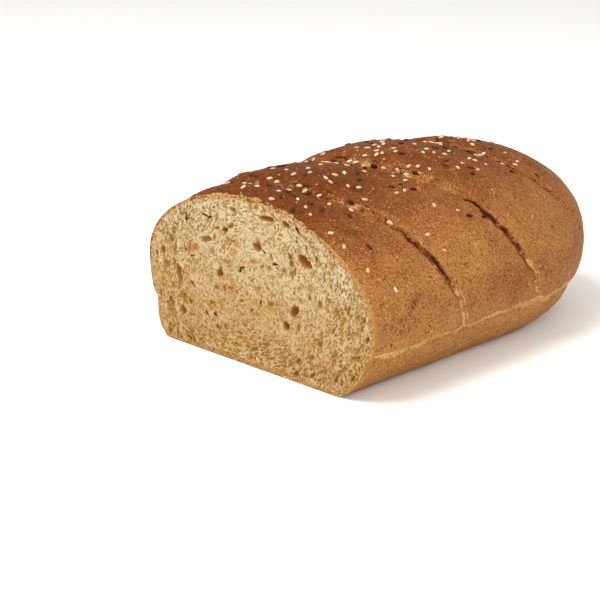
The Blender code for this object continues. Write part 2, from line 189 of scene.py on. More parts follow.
# Middling cells that stand out in the photograph, in this script alone.
CELLS = (
    Hole(-42.7, 44.5, 3.0, 2.4, 30, 0.7), Hole(-38.6, 46.2, 3.6, 2.8, 70, 0.8),
    Hole(-27.3, 46.7, 2.8, 3.2, 10, 0.7), Hole(-20.1, 49.9, 2.2, 3.8, -15, 0.6),
    Hole(-14.9, 53.7, 5.0, 1.6, 0, 0.7), Hole(9.4, 51.5, 2.4, 3.2, 20, 0.7),
    Hole(8.2, 46.4, 3.0, 2.2, 5, 0.7), Hole(17.2, 47.4, 2.0, 3.2, 15, 0.7),
    Hole(-25.1, 30.7, 3.4, 2.4, 10, 0.9), Hole(-19.8, 31.4, 2.2, 2.8, 20, 0.9),
    Hole(-19.6, 43.7, 2.6, 3.0, -20, 0.6), Hole(-2.5, 38.8, 2.6, 1.8, 30, 0.6),
    Hole(-5.7, 32.2, 2.4, 2.0, -30, 0.6), Hole(-12.1, 31.3, 2.8, 1.8, 10, 0.7),
    Hole(43.0, 40.0, 1.6, 3.6, 25, 0.9), Hole(26.8, 36.4, 2.0, 2.6, 30, 0.6),
    Hole(-52.0, 44.0, 2.0, 4.0, 10, 0.8), Hole(38.0, 20.0, 3.2, 2.6, 40, 1.0),
    Hole(33.0, 13.0, 3.6, 2.4, 20, 1.0), Hole(6.0, 12.0, 4.0, 2.2, 15, 0.9),
)

# A kind of smaller cell: its share of all, half widths, depths, and how steep its wall is.
Pore = namedtuple("Pore", "share size depth edge")
PORES = (
    Pore(0.84, (0.28, 0.48), (0.18, 0.45), 0.35),
    Pore(0.15, (0.45, 0.75), (0.28, 0.55), 0.30),
    Pore(0.01, (0.9, 1.4), (0.5, 1.0), 0.25),
)

# How steep a gas hole's wall is, and how much its outline wobbles, against a fine pore's.
HOLE_EDGE = 0.34
HOLE_WOBBLE = 0.12
PORE_WOBBLE = 0.16

# ---- the seeds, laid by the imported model's own rule ---------------------------------------

# A grain or flake: its length, width and thickness, how far its middle stands out, how much it
# narrows to one end, how uneven it is, and its pattern's random seed.
Seed = namedtuple("Seed", "length width thick raised taper uneven random")
SESAME = Seed(2.75, 1.6, 0.95, 0.2, 0.55, 0.09, 3)
LINSEED = Seed(3.4, 1.7, 1.05, 0.2, 0.5, 0.09, 5)
SEED_VARIATION = 0.12
SEED_GAP = 3.9
SEED_COUNTS = ((LINSEED, 48), (SESAME, 96))
MORE_SEEDS = ((LINSEED, 4), (SESAME, 44))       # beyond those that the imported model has
MORE_GAP = 2.7
SEED_START = 1.5
SEED_END = 190.0
SEED_ANGLES = (-70.0, 62.0)
SEED_CREST = 46.0
SEED_FADE = 40.0
IN_SLASH = 0.4          # share of ROLL_REACH within which a seed lies in the slash
SEED_MIDDLE = -3.0
SEED_RANDOM = 11
ROLL_REACH = 6.0
ROLL_SHARE = 0.75
ROLLED_SPIN = (-78.0, -48.0)
STRAY_SEEDS = (
    (SESAME, 72, 8), (SESAME, 81, 17), (SESAME, 65, 51), (SESAME, 73, 54), (SESAME, 58, 77),
    (LINSEED, 63, 17), (LINSEED, 62, 81), (LINSEED, 64, 90),
)

GRAIN_SIDES = 10
GRAIN_RINGS = 7
LUMP_SIZE = 1.3         # size of the lumps that make a grain uneven

# ---- flakes of torn crust, and bran and painted gap shade on the crumb ---------------------

FLAKE = Seed(1.1, 0.6, 0.18, 0.0, 0.4, 0.45, 7)
FLAKE_COUNT = 900
FLAKE_LEAN = 35.0       # degrees that a flake leans out of the crust
FLAKE_SIZES = (0.35, 1.2)
FLAKE_FLOOR = 4.0       # no flake lies lower than this
FLAKE_RANDOM = 17
BRAN_AND_GAP_SHADE = Seed(2.3, 0.8, 0.3, 0.0, 0.4, 0.45, 9)
# Dark flakes laid as painted shade in shadowed gaps that stand out in the photograph: x, z and tilt in
# degrees.
SHADED_GAP_PLACES = (
    (-31.2, 62.2, -10), (-28.4, 61.8, 15), (5.2, 53.2, -30), (-9.3, 42.2, 60), (-41.4, 41.9, 20),
    (3.1, 31.0, 70), (-31.4, 17.6, -20), (-26.0, 18.4, -10), (49.2, 43.6, -50), (-43.6, 58.0, 10),
    (25.0, 66.2, -40), (21.0, 68.5, -30), (12.0, 49.0, 10), (-8.2, 43.4, 20),
)
BRAN_COUNT = 24         # and this many flecks of bran, anywhere on the cut
BRAN_ACROSS = (-70.0, 70.0)
BRAN_EDGE = 0.95        # the share of the way to the cut's edge that they reach
SHADED_GAP_SIZE = 1.5
BRAN_SIZES = (0.4, 0.9)
BRAN_RANDOM = 19

# ---- the stage, with its camera at the photograph's viewing angle ---------------------------

FLOOR_HALF = 4.0        # in metres, as are the softboxes' places and sizes
FLOOR_DROP = 0.0002
LIGHT_AIM = (0.0, -0.02, 0.04)
Softbox = namedtuple("Softbox", "name place size share")
SOFTBOXES = (
    Softbox("softbox above", (-0.25, -0.55, 0.95), 0.7, 1.0),
    Softbox("softbox right", (0.95, -0.35, 0.55), 0.8, 0.35),
)
WARM_WHITE = (1.0, 0.985, 0.96, 1.0)
CAMERA_AZIMUTH = 45.291
CAMERA_ELEVATION = 17.688
CAMERA_AIM = (34.74, -7.9, 40.4)        # in the loaf's own layout
CAMERA_DISTANCE = 647.0
CAMERA_LENS = 96.0
SENSOR_WIDTH = 36.0


def linear(hex_colour):
    """An sRGB hex colour as linear red, green and blue."""
    channels = [int(hex_colour[place:place + 2], 16) / 255.0 for place in (1, 3, 5)]
    return tuple(c / 12.92 if c <= 0.04045 else ((c + 0.055) / 1.055) ** 2.4 for c in channels)


# ---- form --------------------------------------------------------------------------------

def wall_reach(wall, height):
    """Distance from the core plane to a wall's surface at a height above the table."""
    height = np.clip(height, 0.0, CUT_HEIGHT)
    above = np.clip((height - wall.height) / (CUT_HEIGHT - wall.height), 0.0, 1.0)
    dome = wall.reach * (1.0 - above ** wall.roundness) ** (1.0 / wall.roundness)
    below = np.clip((wall.height - height) / (wall.height - RIM_HEIGHT), 0.0, 1.0)
    bulge = wall.rim + (wall.reach - wall.rim) * np.sqrt(1.0 - below ** 2)
    drawn_in = wall.draft * np.clip(1.0 - height / RIM_HEIGHT, 0.0, 1.0)
    corner = np.clip(1.0 - height / wall.corner, 0.0, 1.0)
    base = wall.rim - drawn_in - wall.tuck * (1.0 - np.sqrt(1.0 - corner ** 2))
    return np.where(height >= wall.height, dome, np.where(height >= RIM_HEIGHT, bulge, base))


def hump(off, width, power=2):
    """1 where off is 0, falling away on both sides."""
    return np.exp(-((off / width) ** power))


def swell(y):
    """0 at the cut, rising towards 1 where the loaf is fullest."""
    return hump(y - SWELL_AT, SWELL_SPREAD) - hump(-SWELL_AT, SWELL_SPREAD)


def is_inside(points):
    """Whether each point lies inside the loaf, before slashes, strips and seam are added."""
    x, y, z = points[..., 0], points[..., 1], points[..., 2]
    risen = RIM_HEIGHT + (z - RIM_HEIGHT) / (1.0 + SWELL_UP * swell(y))
    level = np.where(z > RIM_HEIGHT, risen, z)
    right = wall_reach(RIGHT, level) * (1.0 + SWELL_RIGHT * swell(y))
    left = wall_reach(LEFT, level) * (1.0 + SWELL_LEFT * swell(y))
    across = np.abs(x) / np.maximum(np.where(x > 0.0, right, left), 1e-4)
    along = np.maximum(y - CORE_LENGTH, 0.0) / np.maximum(wall_reach(END, level), 1e-4)
    roundness = np.where(level < RIM_HEIGHT, BASE_ROUNDNESS, DOME_ROUNDNESS)
    in_plan = across ** roundness + along ** roundness <= 1.0
    return in_plan & (level <= CUT_HEIGHT) & (level >= 0.0)


def smooth_step(start, end, value):
    """0 at start, 1 at end, eased at both."""
    share = np.clip((value - start) / (end - start), 0.0, 1.0)
    return share * share * (3.0 - 2.0 * share)


def slash_line(slash, angle):
    """The y of a slash at an angle round the loaf."""
    bent = 0.5 * (angle + np.hypot(angle, SLASH_BEND))
    return slash.crest + (slash.seam - slash.crest) * bent / SEAM_ANGLE


def angle_of(points):
    """The angle round the loaf of each point, in degrees."""
    return np.degrees(np.arctan2(points[..., 0], points[..., 2] - CORE_HEIGHT))


def relief(points):
    """How far the surface stands out from the plain form, for its strips, slashes and seam."""
    y, z = points[..., 1], points[..., 2]
    angle = angle_of(points)
    lines = [slash_line(slash, angle) for slash in SLASHES]
    edges = [2.0 * lines[0] - lines[1]] + lines + [lines[-1] + LAST_STRIP]
    height = np.zeros(y.shape)
    for rise, near, far in zip(STRIP_RISE, edges, edges[1:]):
        across = np.clip((y - near) / (far - near), 0.0, 1.0) ** STRIP_SKEW
        height += rise * (1.0 - np.abs(2.0 * across - 1.0) ** STRIP_CROWN)
    flank = smooth_step(20.0, 60.0, angle)
    width = GROOVE_WIDTH[0] + (GROOVE_WIDTH[1] - GROOVE_WIDTH[0]) * flank
    side = 1.0 - (1.0 - FLANK_SHARE) * smooth_step(*FLANK_TURN, angle)
    for line in lines:
        height += LIP_RISE * hump(y - line - 2.0 * width, 1.5 * width)
    height *= side
    for line in lines:
        depth = GROOVE_DEPTH * (0.3 + 0.7 * side) * smooth_step(*GROOVE_END, angle)
        height -= depth * hump(y - line, width)
    height *= smooth_step(*LEFT_FADE, angle) * smooth_step(*RIGHT_FADE, angle)
    height *= 1.0 - hump(np.maximum(y, 0.0), CUT_RAMP)
    return height - SEAM_DEPTH * hump(z - RIM_HEIGHT, SEAM_WIDTH)


def along_rays(starts, rays):
    """Where rays from the core line leave the plain form."""
    rays = rays / np.linalg.norm(rays, axis=-1, keepdims=True)
    near = np.zeros(rays.shape[:-1])
    far = np.full(rays.shape[:-1], 2.0 * END.reach)
    for _ in range(HALVINGS):
        middle = 0.5 * (near + far)
        inside = is_inside(starts + rays * middle[..., None])
        near = np.where(inside, middle, near)
        far = np.where(inside, far, middle)
    return starts + rays * near[..., None]


def raised(plain):
    """The plain form with its relief added, outwards from the core line."""
    core = np.stack([0.0 * plain[..., 0], np.clip(plain[..., 1], 0.0, CORE_LENGTH),
                     0.0 * plain[..., 0] + CORE_HEIGHT], axis=-1)
    out = plain - core
    out /= np.maximum(np.linalg.norm(out, axis=-1, keepdims=True), 1e-9)
    return plain + out * relief(plain)[..., None]


def crust_point(angle, y):
    """The crust's point at an angle round the loaf, on rays that turn backwards past the core."""
    turn = np.radians(angle)
    back = np.maximum(y - CORE_LENGTH, 0.0) / END_TURN
    ray = np.stack([np.sin(turn), back, np.cos(turn)], axis=-1)
    start = np.stack([0.0 * y, np.minimum(y, CORE_LENGTH), 0.0 * y + CORE_HEIGHT], axis=-1)
    return raised(along_rays(start, ray))


def section_point(angle, y):
    """The plain form's point at an angle in the section at y."""
    turn = np.radians(angle)
    ray = np.stack([np.sin(turn), 0.0 * turn, np.cos(turn)], axis=-1)
    core = np.stack([0.0 * y, y, 0.0 * y + CORE_HEIGHT], axis=-1)
    return along_rays(core, ray)


def centring():
    """The shift that centres the loaf in x and y."""
    levels = np.linspace(0.0, CUT_HEIGHT, 200)
    stations = np.linspace(0.0, CORE_LENGTH, 200)
    right = wall_reach(RIGHT, levels).max() * (1.0 + SWELL_RIGHT * swell(stations)).max()
    left = wall_reach(LEFT, levels).max() * (1.0 + SWELL_LEFT * swell(stations)).max()
    return np.array([0.5 * (left - right), -0.5 * TIP, 0.0])


# ---- random fields -----------------------------------------------------------------------

def lattice(cell, seed):
    """A fixed random number from -1 to 1 for each whole-numbered place."""
    mixed = cell[..., 0] * 374761393 + cell[..., 1] * 668265263 + cell[..., 2] * 1274126177
    mixed = (mixed + seed * 974634777) & 0xFFFFFFFF
    mixed = ((mixed ^ (mixed >> 13)) * 1103515245) & 0xFFFFFFFF
    mixed = ((mixed ^ (mixed >> 16)) * 668265263) & 0xFFFFFFFF
    return mixed / 0x7FFFFFFF - 1.0


def noise(points, size, seed):
    """A smooth random field from -1 to 1 whose lumps have the given size."""
    scaled = points / size + 0.37 * seed
    cell = np.floor(scaled).astype(np.int64)
    part = scaled - cell
    ease = part * part * (3.0 - 2.0 * part)
    total = np.zeros(points.shape[:-1])
    for corner in itertools.product((0, 1), repeat=3):
        weight = np.ones(total.shape)
        for axis, far in enumerate(corner):
            weight = weight * (ease[..., axis] if far else 1.0 - ease[..., axis])
        total += weight * lattice(cell + np.array(corner), seed)
    return total


def rough(points, size, seed, octaves=3):
    """Noise with finer and fainter noise added to it."""
    return sum(noise(points, size / 2 ** n, seed + n) / 2 ** n for n in range(octaves)) / 1.6


# ---- mesh helpers ------------------------------------------------------------------------

def dressed(name, points, faces, material, fields):
    """A finished piece from points in the loaf's own layout, with a value of each field a point."""
    mesh = bpy.data.meshes.new(name)
    mesh.from_pydata(((points + centring()) * MM).tolist(), [], faces)
    for field, values in fields.items():
        mesh.attributes.new(field, "FLOAT", "POINT").data.foreach_set("value", values.astype(np.float32))
    mesh.shade_smooth()
    mesh.materials.append(material)
    mesh.update()
    return declared(bpy.data.objects.new(name, mesh))


def declared(piece):
    """Adds a piece to the scene, riding on the loaf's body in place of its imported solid."""
    bpy.context.scene.collection.objects.link(piece)
    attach(piece, BODY)
    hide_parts(NODE)
    return piece


def between(near, far):
    """Quads between two rings of point numbers."""
    return list(zip(near, near[1:] + near[:1], far[1:] + far[:1], far))


def fan(ring, hub):
    """Triangles that close a ring of point numbers."""
    return [(point, after, hub) for point, after in zip(ring, ring[1:] + ring[:1])]


def surface_tree(piece):
    """A tree that finds places on a piece's surface."""
    mesh = piece.data
    return BVHTree.FromPolygons([v.co for v in mesh.vertices], [p.vertices for p in mesh.polygons])


def facing(along, up):
    """The turn that lays a grain's length along one direction and its back towards another."""
    return Matrix((along, up.cross(along), up)).transposed().to_euler()


# ---- node helpers ------------------------------------------------------------------------

def fill_inputs(tree, node, inputs):
    """Fills a node's inputs: with a value, with a hex colour, or with a link from an output or
    from a node's first output."""
    for key, value in inputs.items():
        if isinstance(value, bpy.types.Node):
            value = next(output for output in value.outputs if output.enabled)
        if isinstance(value, bpy.types.NodeSocket):
            tree.links.new(value, node.inputs[key])
        elif isinstance(value, str) and value.startswith("#"):
            node.inputs[key].default_value = (*linear(value), 1.0)
        else:
            node.inputs[key].default_value = value


def add_node(tree, kind, inputs=None, **settings):
    """Adds a node, makes its settings, and fills its inputs."""
    node = tree.nodes.new(kind)
    for name, value in settings.items():
        setattr(node, name, value)
    fill_inputs(tree, node, inputs or {})
    return node


def new_material(name):
    """A material, with its node tree and its shader."""
    material = bpy.data.materials.new(name)
    material.use_nodes = True
    tree = material.node_tree
    return material, tree, tree.nodes["Principled BSDF"]


def per_metre(size):
    """The scale that gives a texture's pattern a size in mm."""
    return 1.0 / (size * MM)


def set_ramp(node, stops):
    """Gives a colour ramp its stops, as pairs of place and hex colour."""
    elements = node.color_ramp.elements
    while len(elements) < len(stops):
        elements.new(1.0)
    for element, (place, colour) in zip(elements, stops):
        element.position = place
        element.color = (*linear(colour), 1.0)
    return node


def layered(tree, place, field, layers):
    """Adds noise of several sizes to a field: for each layer its size in mm, detail, roughness and
    share. Gives the sum and the layers' textures."""
    textures, level = [], field
    for size, detail, roughness, share in layers:
        textures.append(add_node(tree, "ShaderNodeTexNoise", {
            "Vector": place, "Scale": per_metre(size), "Detail": detail, "Roughness": roughness}))
        level = add_node(
            tree, "ShaderNodeMath", {0: textures[-1], 1: share, 2: level}, operation="MULTIPLY_ADD")
    return level, textures


def flecked(tree, place, shade, fleck, where=None):
    """A colour with ragged flecks of another over it, in some of the cells of a scatter, or only
    where a field lets them show."""
    scale = per_metre(fleck.apart)
    shifted = add_node(tree, "ShaderNodeVectorMath", {0: place, 1: (fleck.shift,) * 3})
    stirred = add_node(tree, "ShaderNodeTexNoise", {"Vector": shifted, "Scale": scale / 0.6, "Detail": 1.0})
    middle = add_node(tree, "ShaderNodeVectorMath", {
        0: stirred.outputs["Color"], 1: (0.5,) * 3}, operation="SUBTRACT")
    moved = add_node(tree, "ShaderNodeVectorMath", {
        0: middle, 1: (fleck.apart * MM,) * 3, 2: shifted}, operation="MULTIPLY_ADD")
    cells = add_node(tree, "ShaderNodeTexVoronoi", {"Vector": moved, "Scale": scale})
    lottery = add_node(tree, "ShaderNodeSeparateColor", {"Color": cells.outputs["Color"]})
    radius = add_node(tree, "ShaderNodeMapRange", {
        "Value": lottery, "From Min": 1.0 - fleck.kept, "To Max": fleck.reach / fleck.apart})
    inside = add_node(tree, "ShaderNodeMath", {0: radius, 1: cells}, operation="SUBTRACT")
    mask = add_node(tree, "ShaderNodeMapRange", {"Value": inside, "From Max": 0.12, "To Max": fleck.strength})
    if where:
        mask = add_node(tree, "ShaderNodeMath", {0: mask, 1: where}, operation="MULTIPLY")
    return add_node(tree, "ShaderNodeMix", {
        "Factor": mask, "A": shade, "B": fleck.colour}, data_type="RGBA")


# ---- materials ---------------------------------------------------------------------------

def crust_material(settings):
    """Spelt crust, browned in the oven's dry heat: a thin skin with a faint sheen, dark where it
    stood highest and golden low down, flecked with bran, pale and dull where it tore, and with
    painted shade in its cracks, creases and pits."""
    material, tree, shader = new_material("oven-browned spelt crust")
    place = add_node(tree, "ShaderNodeTexCoord").outputs["Object"]
    # painted shade: one of these fields darkens the cracks, creases and pits where shade falls
    bake, torn, crevice_shade = (
        add_node(tree, "ShaderNodeAttribute", attribute_name=name).outputs["Fac"]
        for name in ("bake", "torn", "crevice_shade"))

    # blotches of 8 mm, as dough browns unevenly, and the skin's mottling down to its grit
    layer, (blotch, mottle, _) = layered(tree, place, bake, (
        (8.0, 3.0, 0.6, 0.35), (1.4, 5.0, 0.8, 0.9), (0.6, 2.0, 0.8, 2.3)))
    level = add_node(tree, "ShaderNodeMath", {0: layer, 1: 1.71}, operation="SUBTRACT")
    shade = set_ramp(add_node(tree, "ShaderNodeValToRGB", {"Fac": level}), (
        (0.0, "#B5853D"), (0.2, "#A8793E"), (0.36, "#9E6D3C"), (0.44, "#905B2E"), (0.6, "#956539"),
        (0.7, "#87522A"), (0.8, "#763F0E"), (1.0, "#5A2905")))

    # bran in the browned skin, and pale husk
    browned = add_node(tree, "ShaderNodeMapRange", {"Value": bake, "From Min": 0.05, "From Max": 0.35})
    for fleck in CRUST_BRAN:
        shade = flecked(tree, place, shade, fleck, browned)
    shade = flecked(tree, place, shade, CRUST_HUSK)

    # hairline cracks where the skin baked darkest
    shifted = add_node(tree, "ShaderNodeVectorMath", {0: place, 1: (0.53,) * 3})
    drift = add_node(tree, "ShaderNodeTexNoise", {
        "Vector": shifted, "Scale": per_metre(9.0), "Detail": 4.0, "Roughness": 0.55})
    ridge = add_node(tree, "ShaderNodeMath", {0: drift, 1: 0.5, 2: 0.016}, operation="COMPARE")
    darkest = add_node(tree, "ShaderNodeMath", {0: blotch, 1: 1.5, 2: bake}, operation="MULTIPLY_ADD")
    baked = add_node(tree, "ShaderNodeMapRange", {
        "Value": darkest, "From Min": 1.55, "From Max": 1.85, "To Max": 0.6})
    hairline = add_node(tree, "ShaderNodeMath", {0: ridge, 1: baked}, operation="MULTIPLY")
    shade = add_node(tree, "ShaderNodeMix", {
        "Factor": hairline, "A": shade, "B": "#3E1A0A"}, data_type="RGBA")

    # pale fibres where the dough tore, and painted shade with ragged edges in the gaps where it split
    fibres = add_node(tree, "ShaderNodeTexNoise", {
        "Vector": place, "Scale": per_metre(1.0), "Detail": 4.0, "Roughness": 0.75})
    fibrous = set_ramp(add_node(tree, "ShaderNodeValToRGB", {"Fac": fibres}), (
        (0.3, "#8E5A2A"), (0.5, "#B58A4C"), (0.68, "#D6BE8E")))
    for field, low, high, most, colour in (
            (torn, 0.75, 1.05, 1.0, fibrous), (crevice_shade, 0.92, 1.12, 0.94, "#371808")):
        ragged = add_node(tree, "ShaderNodeMath", {0: fibres, 1: 0.9, 2: field}, operation="MULTIPLY_ADD")
        gap = add_node(tree, "ShaderNodeMapRange", {
            "Value": ragged, "From Min": low, "From Max": high, "To Max": most})
        shade = add_node(tree, "ShaderNodeMix", {"Factor": gap, "A": shade, "B": colour}, data_type="RGBA")

    sheen = add_node(tree, "ShaderNodeMapRange", {
        "Value": mottle, "From Min": 0.3, "From Max": 0.7, "To Min": 0.55, "To Max": 0.75})
    duller = add_node(tree, "ShaderNodeMath", {0: gap, 1: 0.45, 2: sheen}, operation="MULTIPLY_ADD")
    peel = add_node(tree, "ShaderNodeBump", {
        "Height": mottle, "Strength": settings.peel, "Distance": 0.3 * MM})
    nap = add_node(tree, "ShaderNodeBump", {
        "Height": fibres, "Strength": 0.4, "Distance": 0.2 * MM, "Normal": peel})
    fill_inputs(tree, shader, {
        "Base Color": shade, "Roughness": duller, "IOR": 1.45, "Specular IOR Level": 0.12, "Normal": nap})
    return material


def crumb_material(settings):
    """Spelt crumb, the steamed inside of the loaf: dull, cream where a cell's wall was cut, golden
    and darker down inside the cells, partly their own tone and partly painted shade, golden towards
    the crust, darker towards the bottom of the cut as painted shade, and with specks of bran."""
    material, tree, shader = new_material("open spelt crumb")
    place = add_node(tree, "ShaderNodeTexCoord").outputs["Object"]
    depth, edge = (
        add_node(tree, "ShaderNodeAttribute", attribute_name=name).outputs["Fac"]
        for name in ("depth", "edge"))
    layer, (grain, _) = layered(tree, place, depth, ((0.8, 4.0, 0.75, 0.8), (9.0, 2.0, 0.5, 0.2)))
    level = add_node(tree, "ShaderNodeMath", {0: layer, 1: 0.48}, operation="SUBTRACT")
    # cream to brown along the depth field: partly the cells' own tone and partly painted shade in them
    crumb = set_ramp(add_node(tree, "ShaderNodeValToRGB", {"Fac": level}), (
        (0.0, "#BBAA8B"), (0.15, "#B2A07C"), (0.32, "#A18151"), (0.52, "#906631"), (0.8, "#845421"),
        (1.0, "#764515")))
    toasted = set_ramp(add_node(tree, "ShaderNodeValToRGB", {"Fac": grain}), (
        (0.35, "#B8894A"), (0.5, "#A06D2F"), (0.65, "#7F4E1B")))
    ring = add_node(tree, "ShaderNodeMath", {0: grain, 1: 1.2, 2: edge}, operation="MULTIPLY_ADD")
    ringed = add_node(tree, "ShaderNodeMapRange", {
        "Value": ring, "From Min": 0.75, "From Max": 1.45, "To Max": 0.8})
    golden_and_shaded = add_node(tree, "ShaderNodeMix", {"Factor": ringed, "A": crumb, "B": toasted}, data_type="RGBA")
    bump = add_node(tree, "ShaderNodeBump", {
        "Height": grain, "Strength": settings.grain, "Distance": 0.5 * MM})
    fill_inputs(tree, shader, {
        "Base Color": flecked(tree, place, golden_and_shaded, CRUMB_BRAN), "Roughness": 0.9,
        "Specular IOR Level": 0.15, "Normal": bump})
    return material


def seed_material(name, pale, dark, roughness, level):
    """A dry coat or husk: smooth, stained, and a little lighter or darker from seed to seed."""
    material, tree, shader = new_material(name)
    place = add_node(tree, "ShaderNodeTexCoord").outputs["Object"]
    tone = add_node(tree, "ShaderNodeAttribute", attribute_name="tone").outputs["Fac"]
    stained, _ = layered(tree, place, tone, ((0.9, 2.0, 0.6, 1.4),))
    share = add_node(tree, "ShaderNodeMapRange", {"Value": stained, "From Min": 0.55, "From Max": 1.9})
    coat = add_node(tree, "ShaderNodeMix", {
        "Factor": share, "A": (*pale, 1.0), "B": (*dark, 1.0)}, data_type="RGBA")
    fill_inputs(tree, shader, {"Base Color": coat, "Roughness": roughness, "Specular IOR Level": level})
    return material


# ---- crust -------------------------------------------------------------------------------

def column_angles():
    """Angles of the crust's columns, evenly spaced along its outline and sparser underneath."""
    angles = np.linspace(-180.0, 180.0, 4001)
    section = section_point(angles, np.full(angles.shape, SWELL_AT))
    step = np.linalg.norm(np.diff(section, axis=0), axis=-1)
    under = np.maximum(section[1:, 2], section[:-1, 2]) < 0.05
    travelled = np.concatenate([[0.0], np.cumsum(np.where(under, UNDERSIDE_SHARE * step, step))])
    count = round(travelled[-1] / CRUST_STEP)
    return np.interp(np.arange(count) * travelled[-1] / count, travelled, angles)


def wavering(angle, seed):
    """How far a slash strays from its line: a blade's line, torn a little in the oven."""
    places = np.stack([angle, 0.0 * angle, 0.0 * angle], axis=-1)
    return sum(reach * noise(places, size, seed + n) for n, (reach, size) in enumerate(WAVER))


def row_lines(angle):
    """The y of each slash at an angle, led on round the underside to meet itself."""
    low, high = LEFT_FADE[0] - 5.0, SEAM_ANGLE
    lines = []
    for number, slash in enumerate(SLASHES):
        def at(where):
            return slash_line(slash, where) + wavering(where, 31 + number)
        inner = at(np.clip(angle, low, high))
        middle = 0.5 * (at(np.array(low)) + at(np.array(high)))
        under = smooth_step(high, 180.0, angle) + smooth_step(low, -180.0, angle)
        lines.append(inner + (middle - inner) * under)
    ease = FIRST_SLASH_EASE
    lines[0] = np.logaddexp(lines[0] / ease, FIRST_SLASH_ROW / ease) * ease
    return lines


def spread(length, fine_end):
    """Shares of a length, closer together at its start and, if fine_end is set, at its end."""
    places = [0.0]
    while places[-1] < length:
        gap = min(places[-1], length - places[-1] if fine_end else length)
        places.append(places[-1] + FINE_STEP + (1.0 - FINE_STEP) * float(smooth_step(0.0, FINE_REACH, gap)))
    return np.array(places[:-1]) / length


def row_places(angle):
    """The y of every row of the crust at each angle, with rows that follow the slashes."""
    lines = [np.full(angle.shape, FRONT_ROW)] + row_lines(angle)
    rows = []
    for near, far in zip(lines, lines[1:]):
        rows += [near + (far - near) * share for share in spread(float(np.mean(far - near)), True)]
    past = TIP - lines[-1]
    for share in spread(float(np.mean(past)) * END_ARC, False):
        rows.append(lines[-1] + past * np.sin(0.5 * math.pi * share))
    return np.array(rows)


def slope(plain, lean):
    """Degrees down from the crest, measured over the flanks and the far end alike."""
    lean = math.radians(lean)
    across, up = plain[..., 0], plain[..., 2] - CORE_HEIGHT
    aside = across * math.cos(lean) + up * math.sin(lean)
    beyond = END_SLOPE * np.maximum(plain[..., 1] - CORE_LENGTH, 0.0)
    return np.degrees(np.arctan2(np.hypot(aside, beyond), up * math.cos(lean) - across * math.sin(lean)))


def skin_height(plain, crest):
    """The skin's own swellings, blisters and grain."""
    grain = (0.12 + 0.12 * crest) * rough(plain, 2.6, 2)
    return 0.22 * noise(plain, 7.0, 1) + grain + 0.3 * noise(plain, 26.0, 3) - 0.45


def slash_detail(plain, angle, line, number):
    """A slash's crack, whole on the flank and broken on the crest, in its band of torn crust, with painted
    shade in the crack, the creases beside it and the opened band.
    """
    off = plain[..., 1] - line
    fade = smooth_step(*LEFT_FADE, angle) * smooth_step(0.5, 6.0, plain[..., 1])
    fade *= smooth_step(CLOSED_FROM[number], CLOSED_FROM[number] - CLOSED_OVER, angle)
    flank = smooth_step(OPEN_FROM[number], OPEN_FROM[number] + OPEN_OVER, angle)
    opening = smooth_step(58.0, 70.0, angle)
    on_crest = fade * (1.0 - flank)

    patchy = np.clip(0.7 + 0.8 * noise(plain, 5.0, 5 + number), 0.0, 1.0)
    dashes = smooth_step(-0.15, 0.35, noise(plain, 4.5, 25 + number))
    broken_line = np.maximum(dashes, 0.9 * smooth_step(25.0, 42.0, angle))
    on_top = (0.5 + 0.4 * smooth_step(40.0, 22.0, angle)) * (1.0 - flank) * broken_line
    gape = CREST_GAPE + (FLANK_GAPE[number] - CREST_GAPE) * flank
    crack = fade * (flank * (0.35 + 0.65 * patchy) + on_top) * hump(off, gape)
    broken = smooth_step(-0.3, 0.3, noise(plain, 1.6, 45 + number))
    lower = fade * opening * broken * hump(off + 2.3, 0.45)
    lip = fade * flank * smooth_step(0.0, 0.8, off) * np.exp(-np.maximum(off, 0.0) / 2.5)
    creases = on_crest * sum(
        hump(off - place - 1.2 * noise(plain, 6.0, seed + number), 0.6)
        * smooth_step(-0.25, 0.15, noise(plain, 5.0, seed + 10 + number)) for place, seed in CREASES)

    band = fade * opening * hump(off + 1.0, 1.6, 4)
    wide = on_crest * hump(off + 0.4, 3.4)
    torn = wide * (0.30 + 0.35 * noise(plain, 3.0, 8)) * (0.6 + 0.4 * smooth_step(-50.0, -10.0, angle))
    torn += 0.45 * band * smooth_step(0.2, 0.6, noise(plain, 2.4, 47))
    if CLOSED_FROM[number] > THREADED_FROM:
        streak = smooth_step(80.0, 90.0, angle) * smooth_step(107.0, 101.0, angle)
        thread = hump(off, 0.8) + 0.6 * hump(off - 1.8 - 0.06 * (angle - 90.0), 0.6)
        torn += streak * thread * np.clip(0.7 + 0.7 * noise(plain, 3.0, 17), 0.0, 1.0)
    return {
        "height": ((band + 1.5 * wide) * 0.4 * rough(plain, 1.2, 7) - 0.2 * band
                   + 0.45 * lip - 0.6 * crack - 0.3 * lower - 0.4 * creases),
        "torn": torn,
        # painted shade: dark in the crack, in the line below it, in the creases and in the opened band by the
        # lip
        "crevice_shade": (0.95 * crack + 0.75 * lower + 0.85 * creases
                    + 0.5 * band * np.clip(rough(plain, 1.2, 16), 0.0, 1.0)),
        "scorched": band * (1.1 + 0.9 * rough(plain, 1.2, 49)),
        "raw": on_crest * hump(off, 4.5, 4) * np.clip(0.5 + noise(plain, 3.0, 51), 0.0, 1.0),
    }


def seam_detail(plain):
    """The frayed edge of the dome above the tin's rim."""
    off = plain[..., 2] - RIM_HEIGHT - 1.2 * noise(plain, 14.0, 9) - 0.8 * noise(plain, 4.0, 10)
    fringe = hump(off - 0.9 - 0.5 * noise(plain, 2.5, 20), 1.35)
    return {
        "height": fringe * (0.35 + 0.5 * rough(plain, 1.6, 11)),
        "torn": fringe * (0.74 + 0.8 * noise(plain, 6.0, 12)) + 0.3 * hump(off, 4.0),
    }


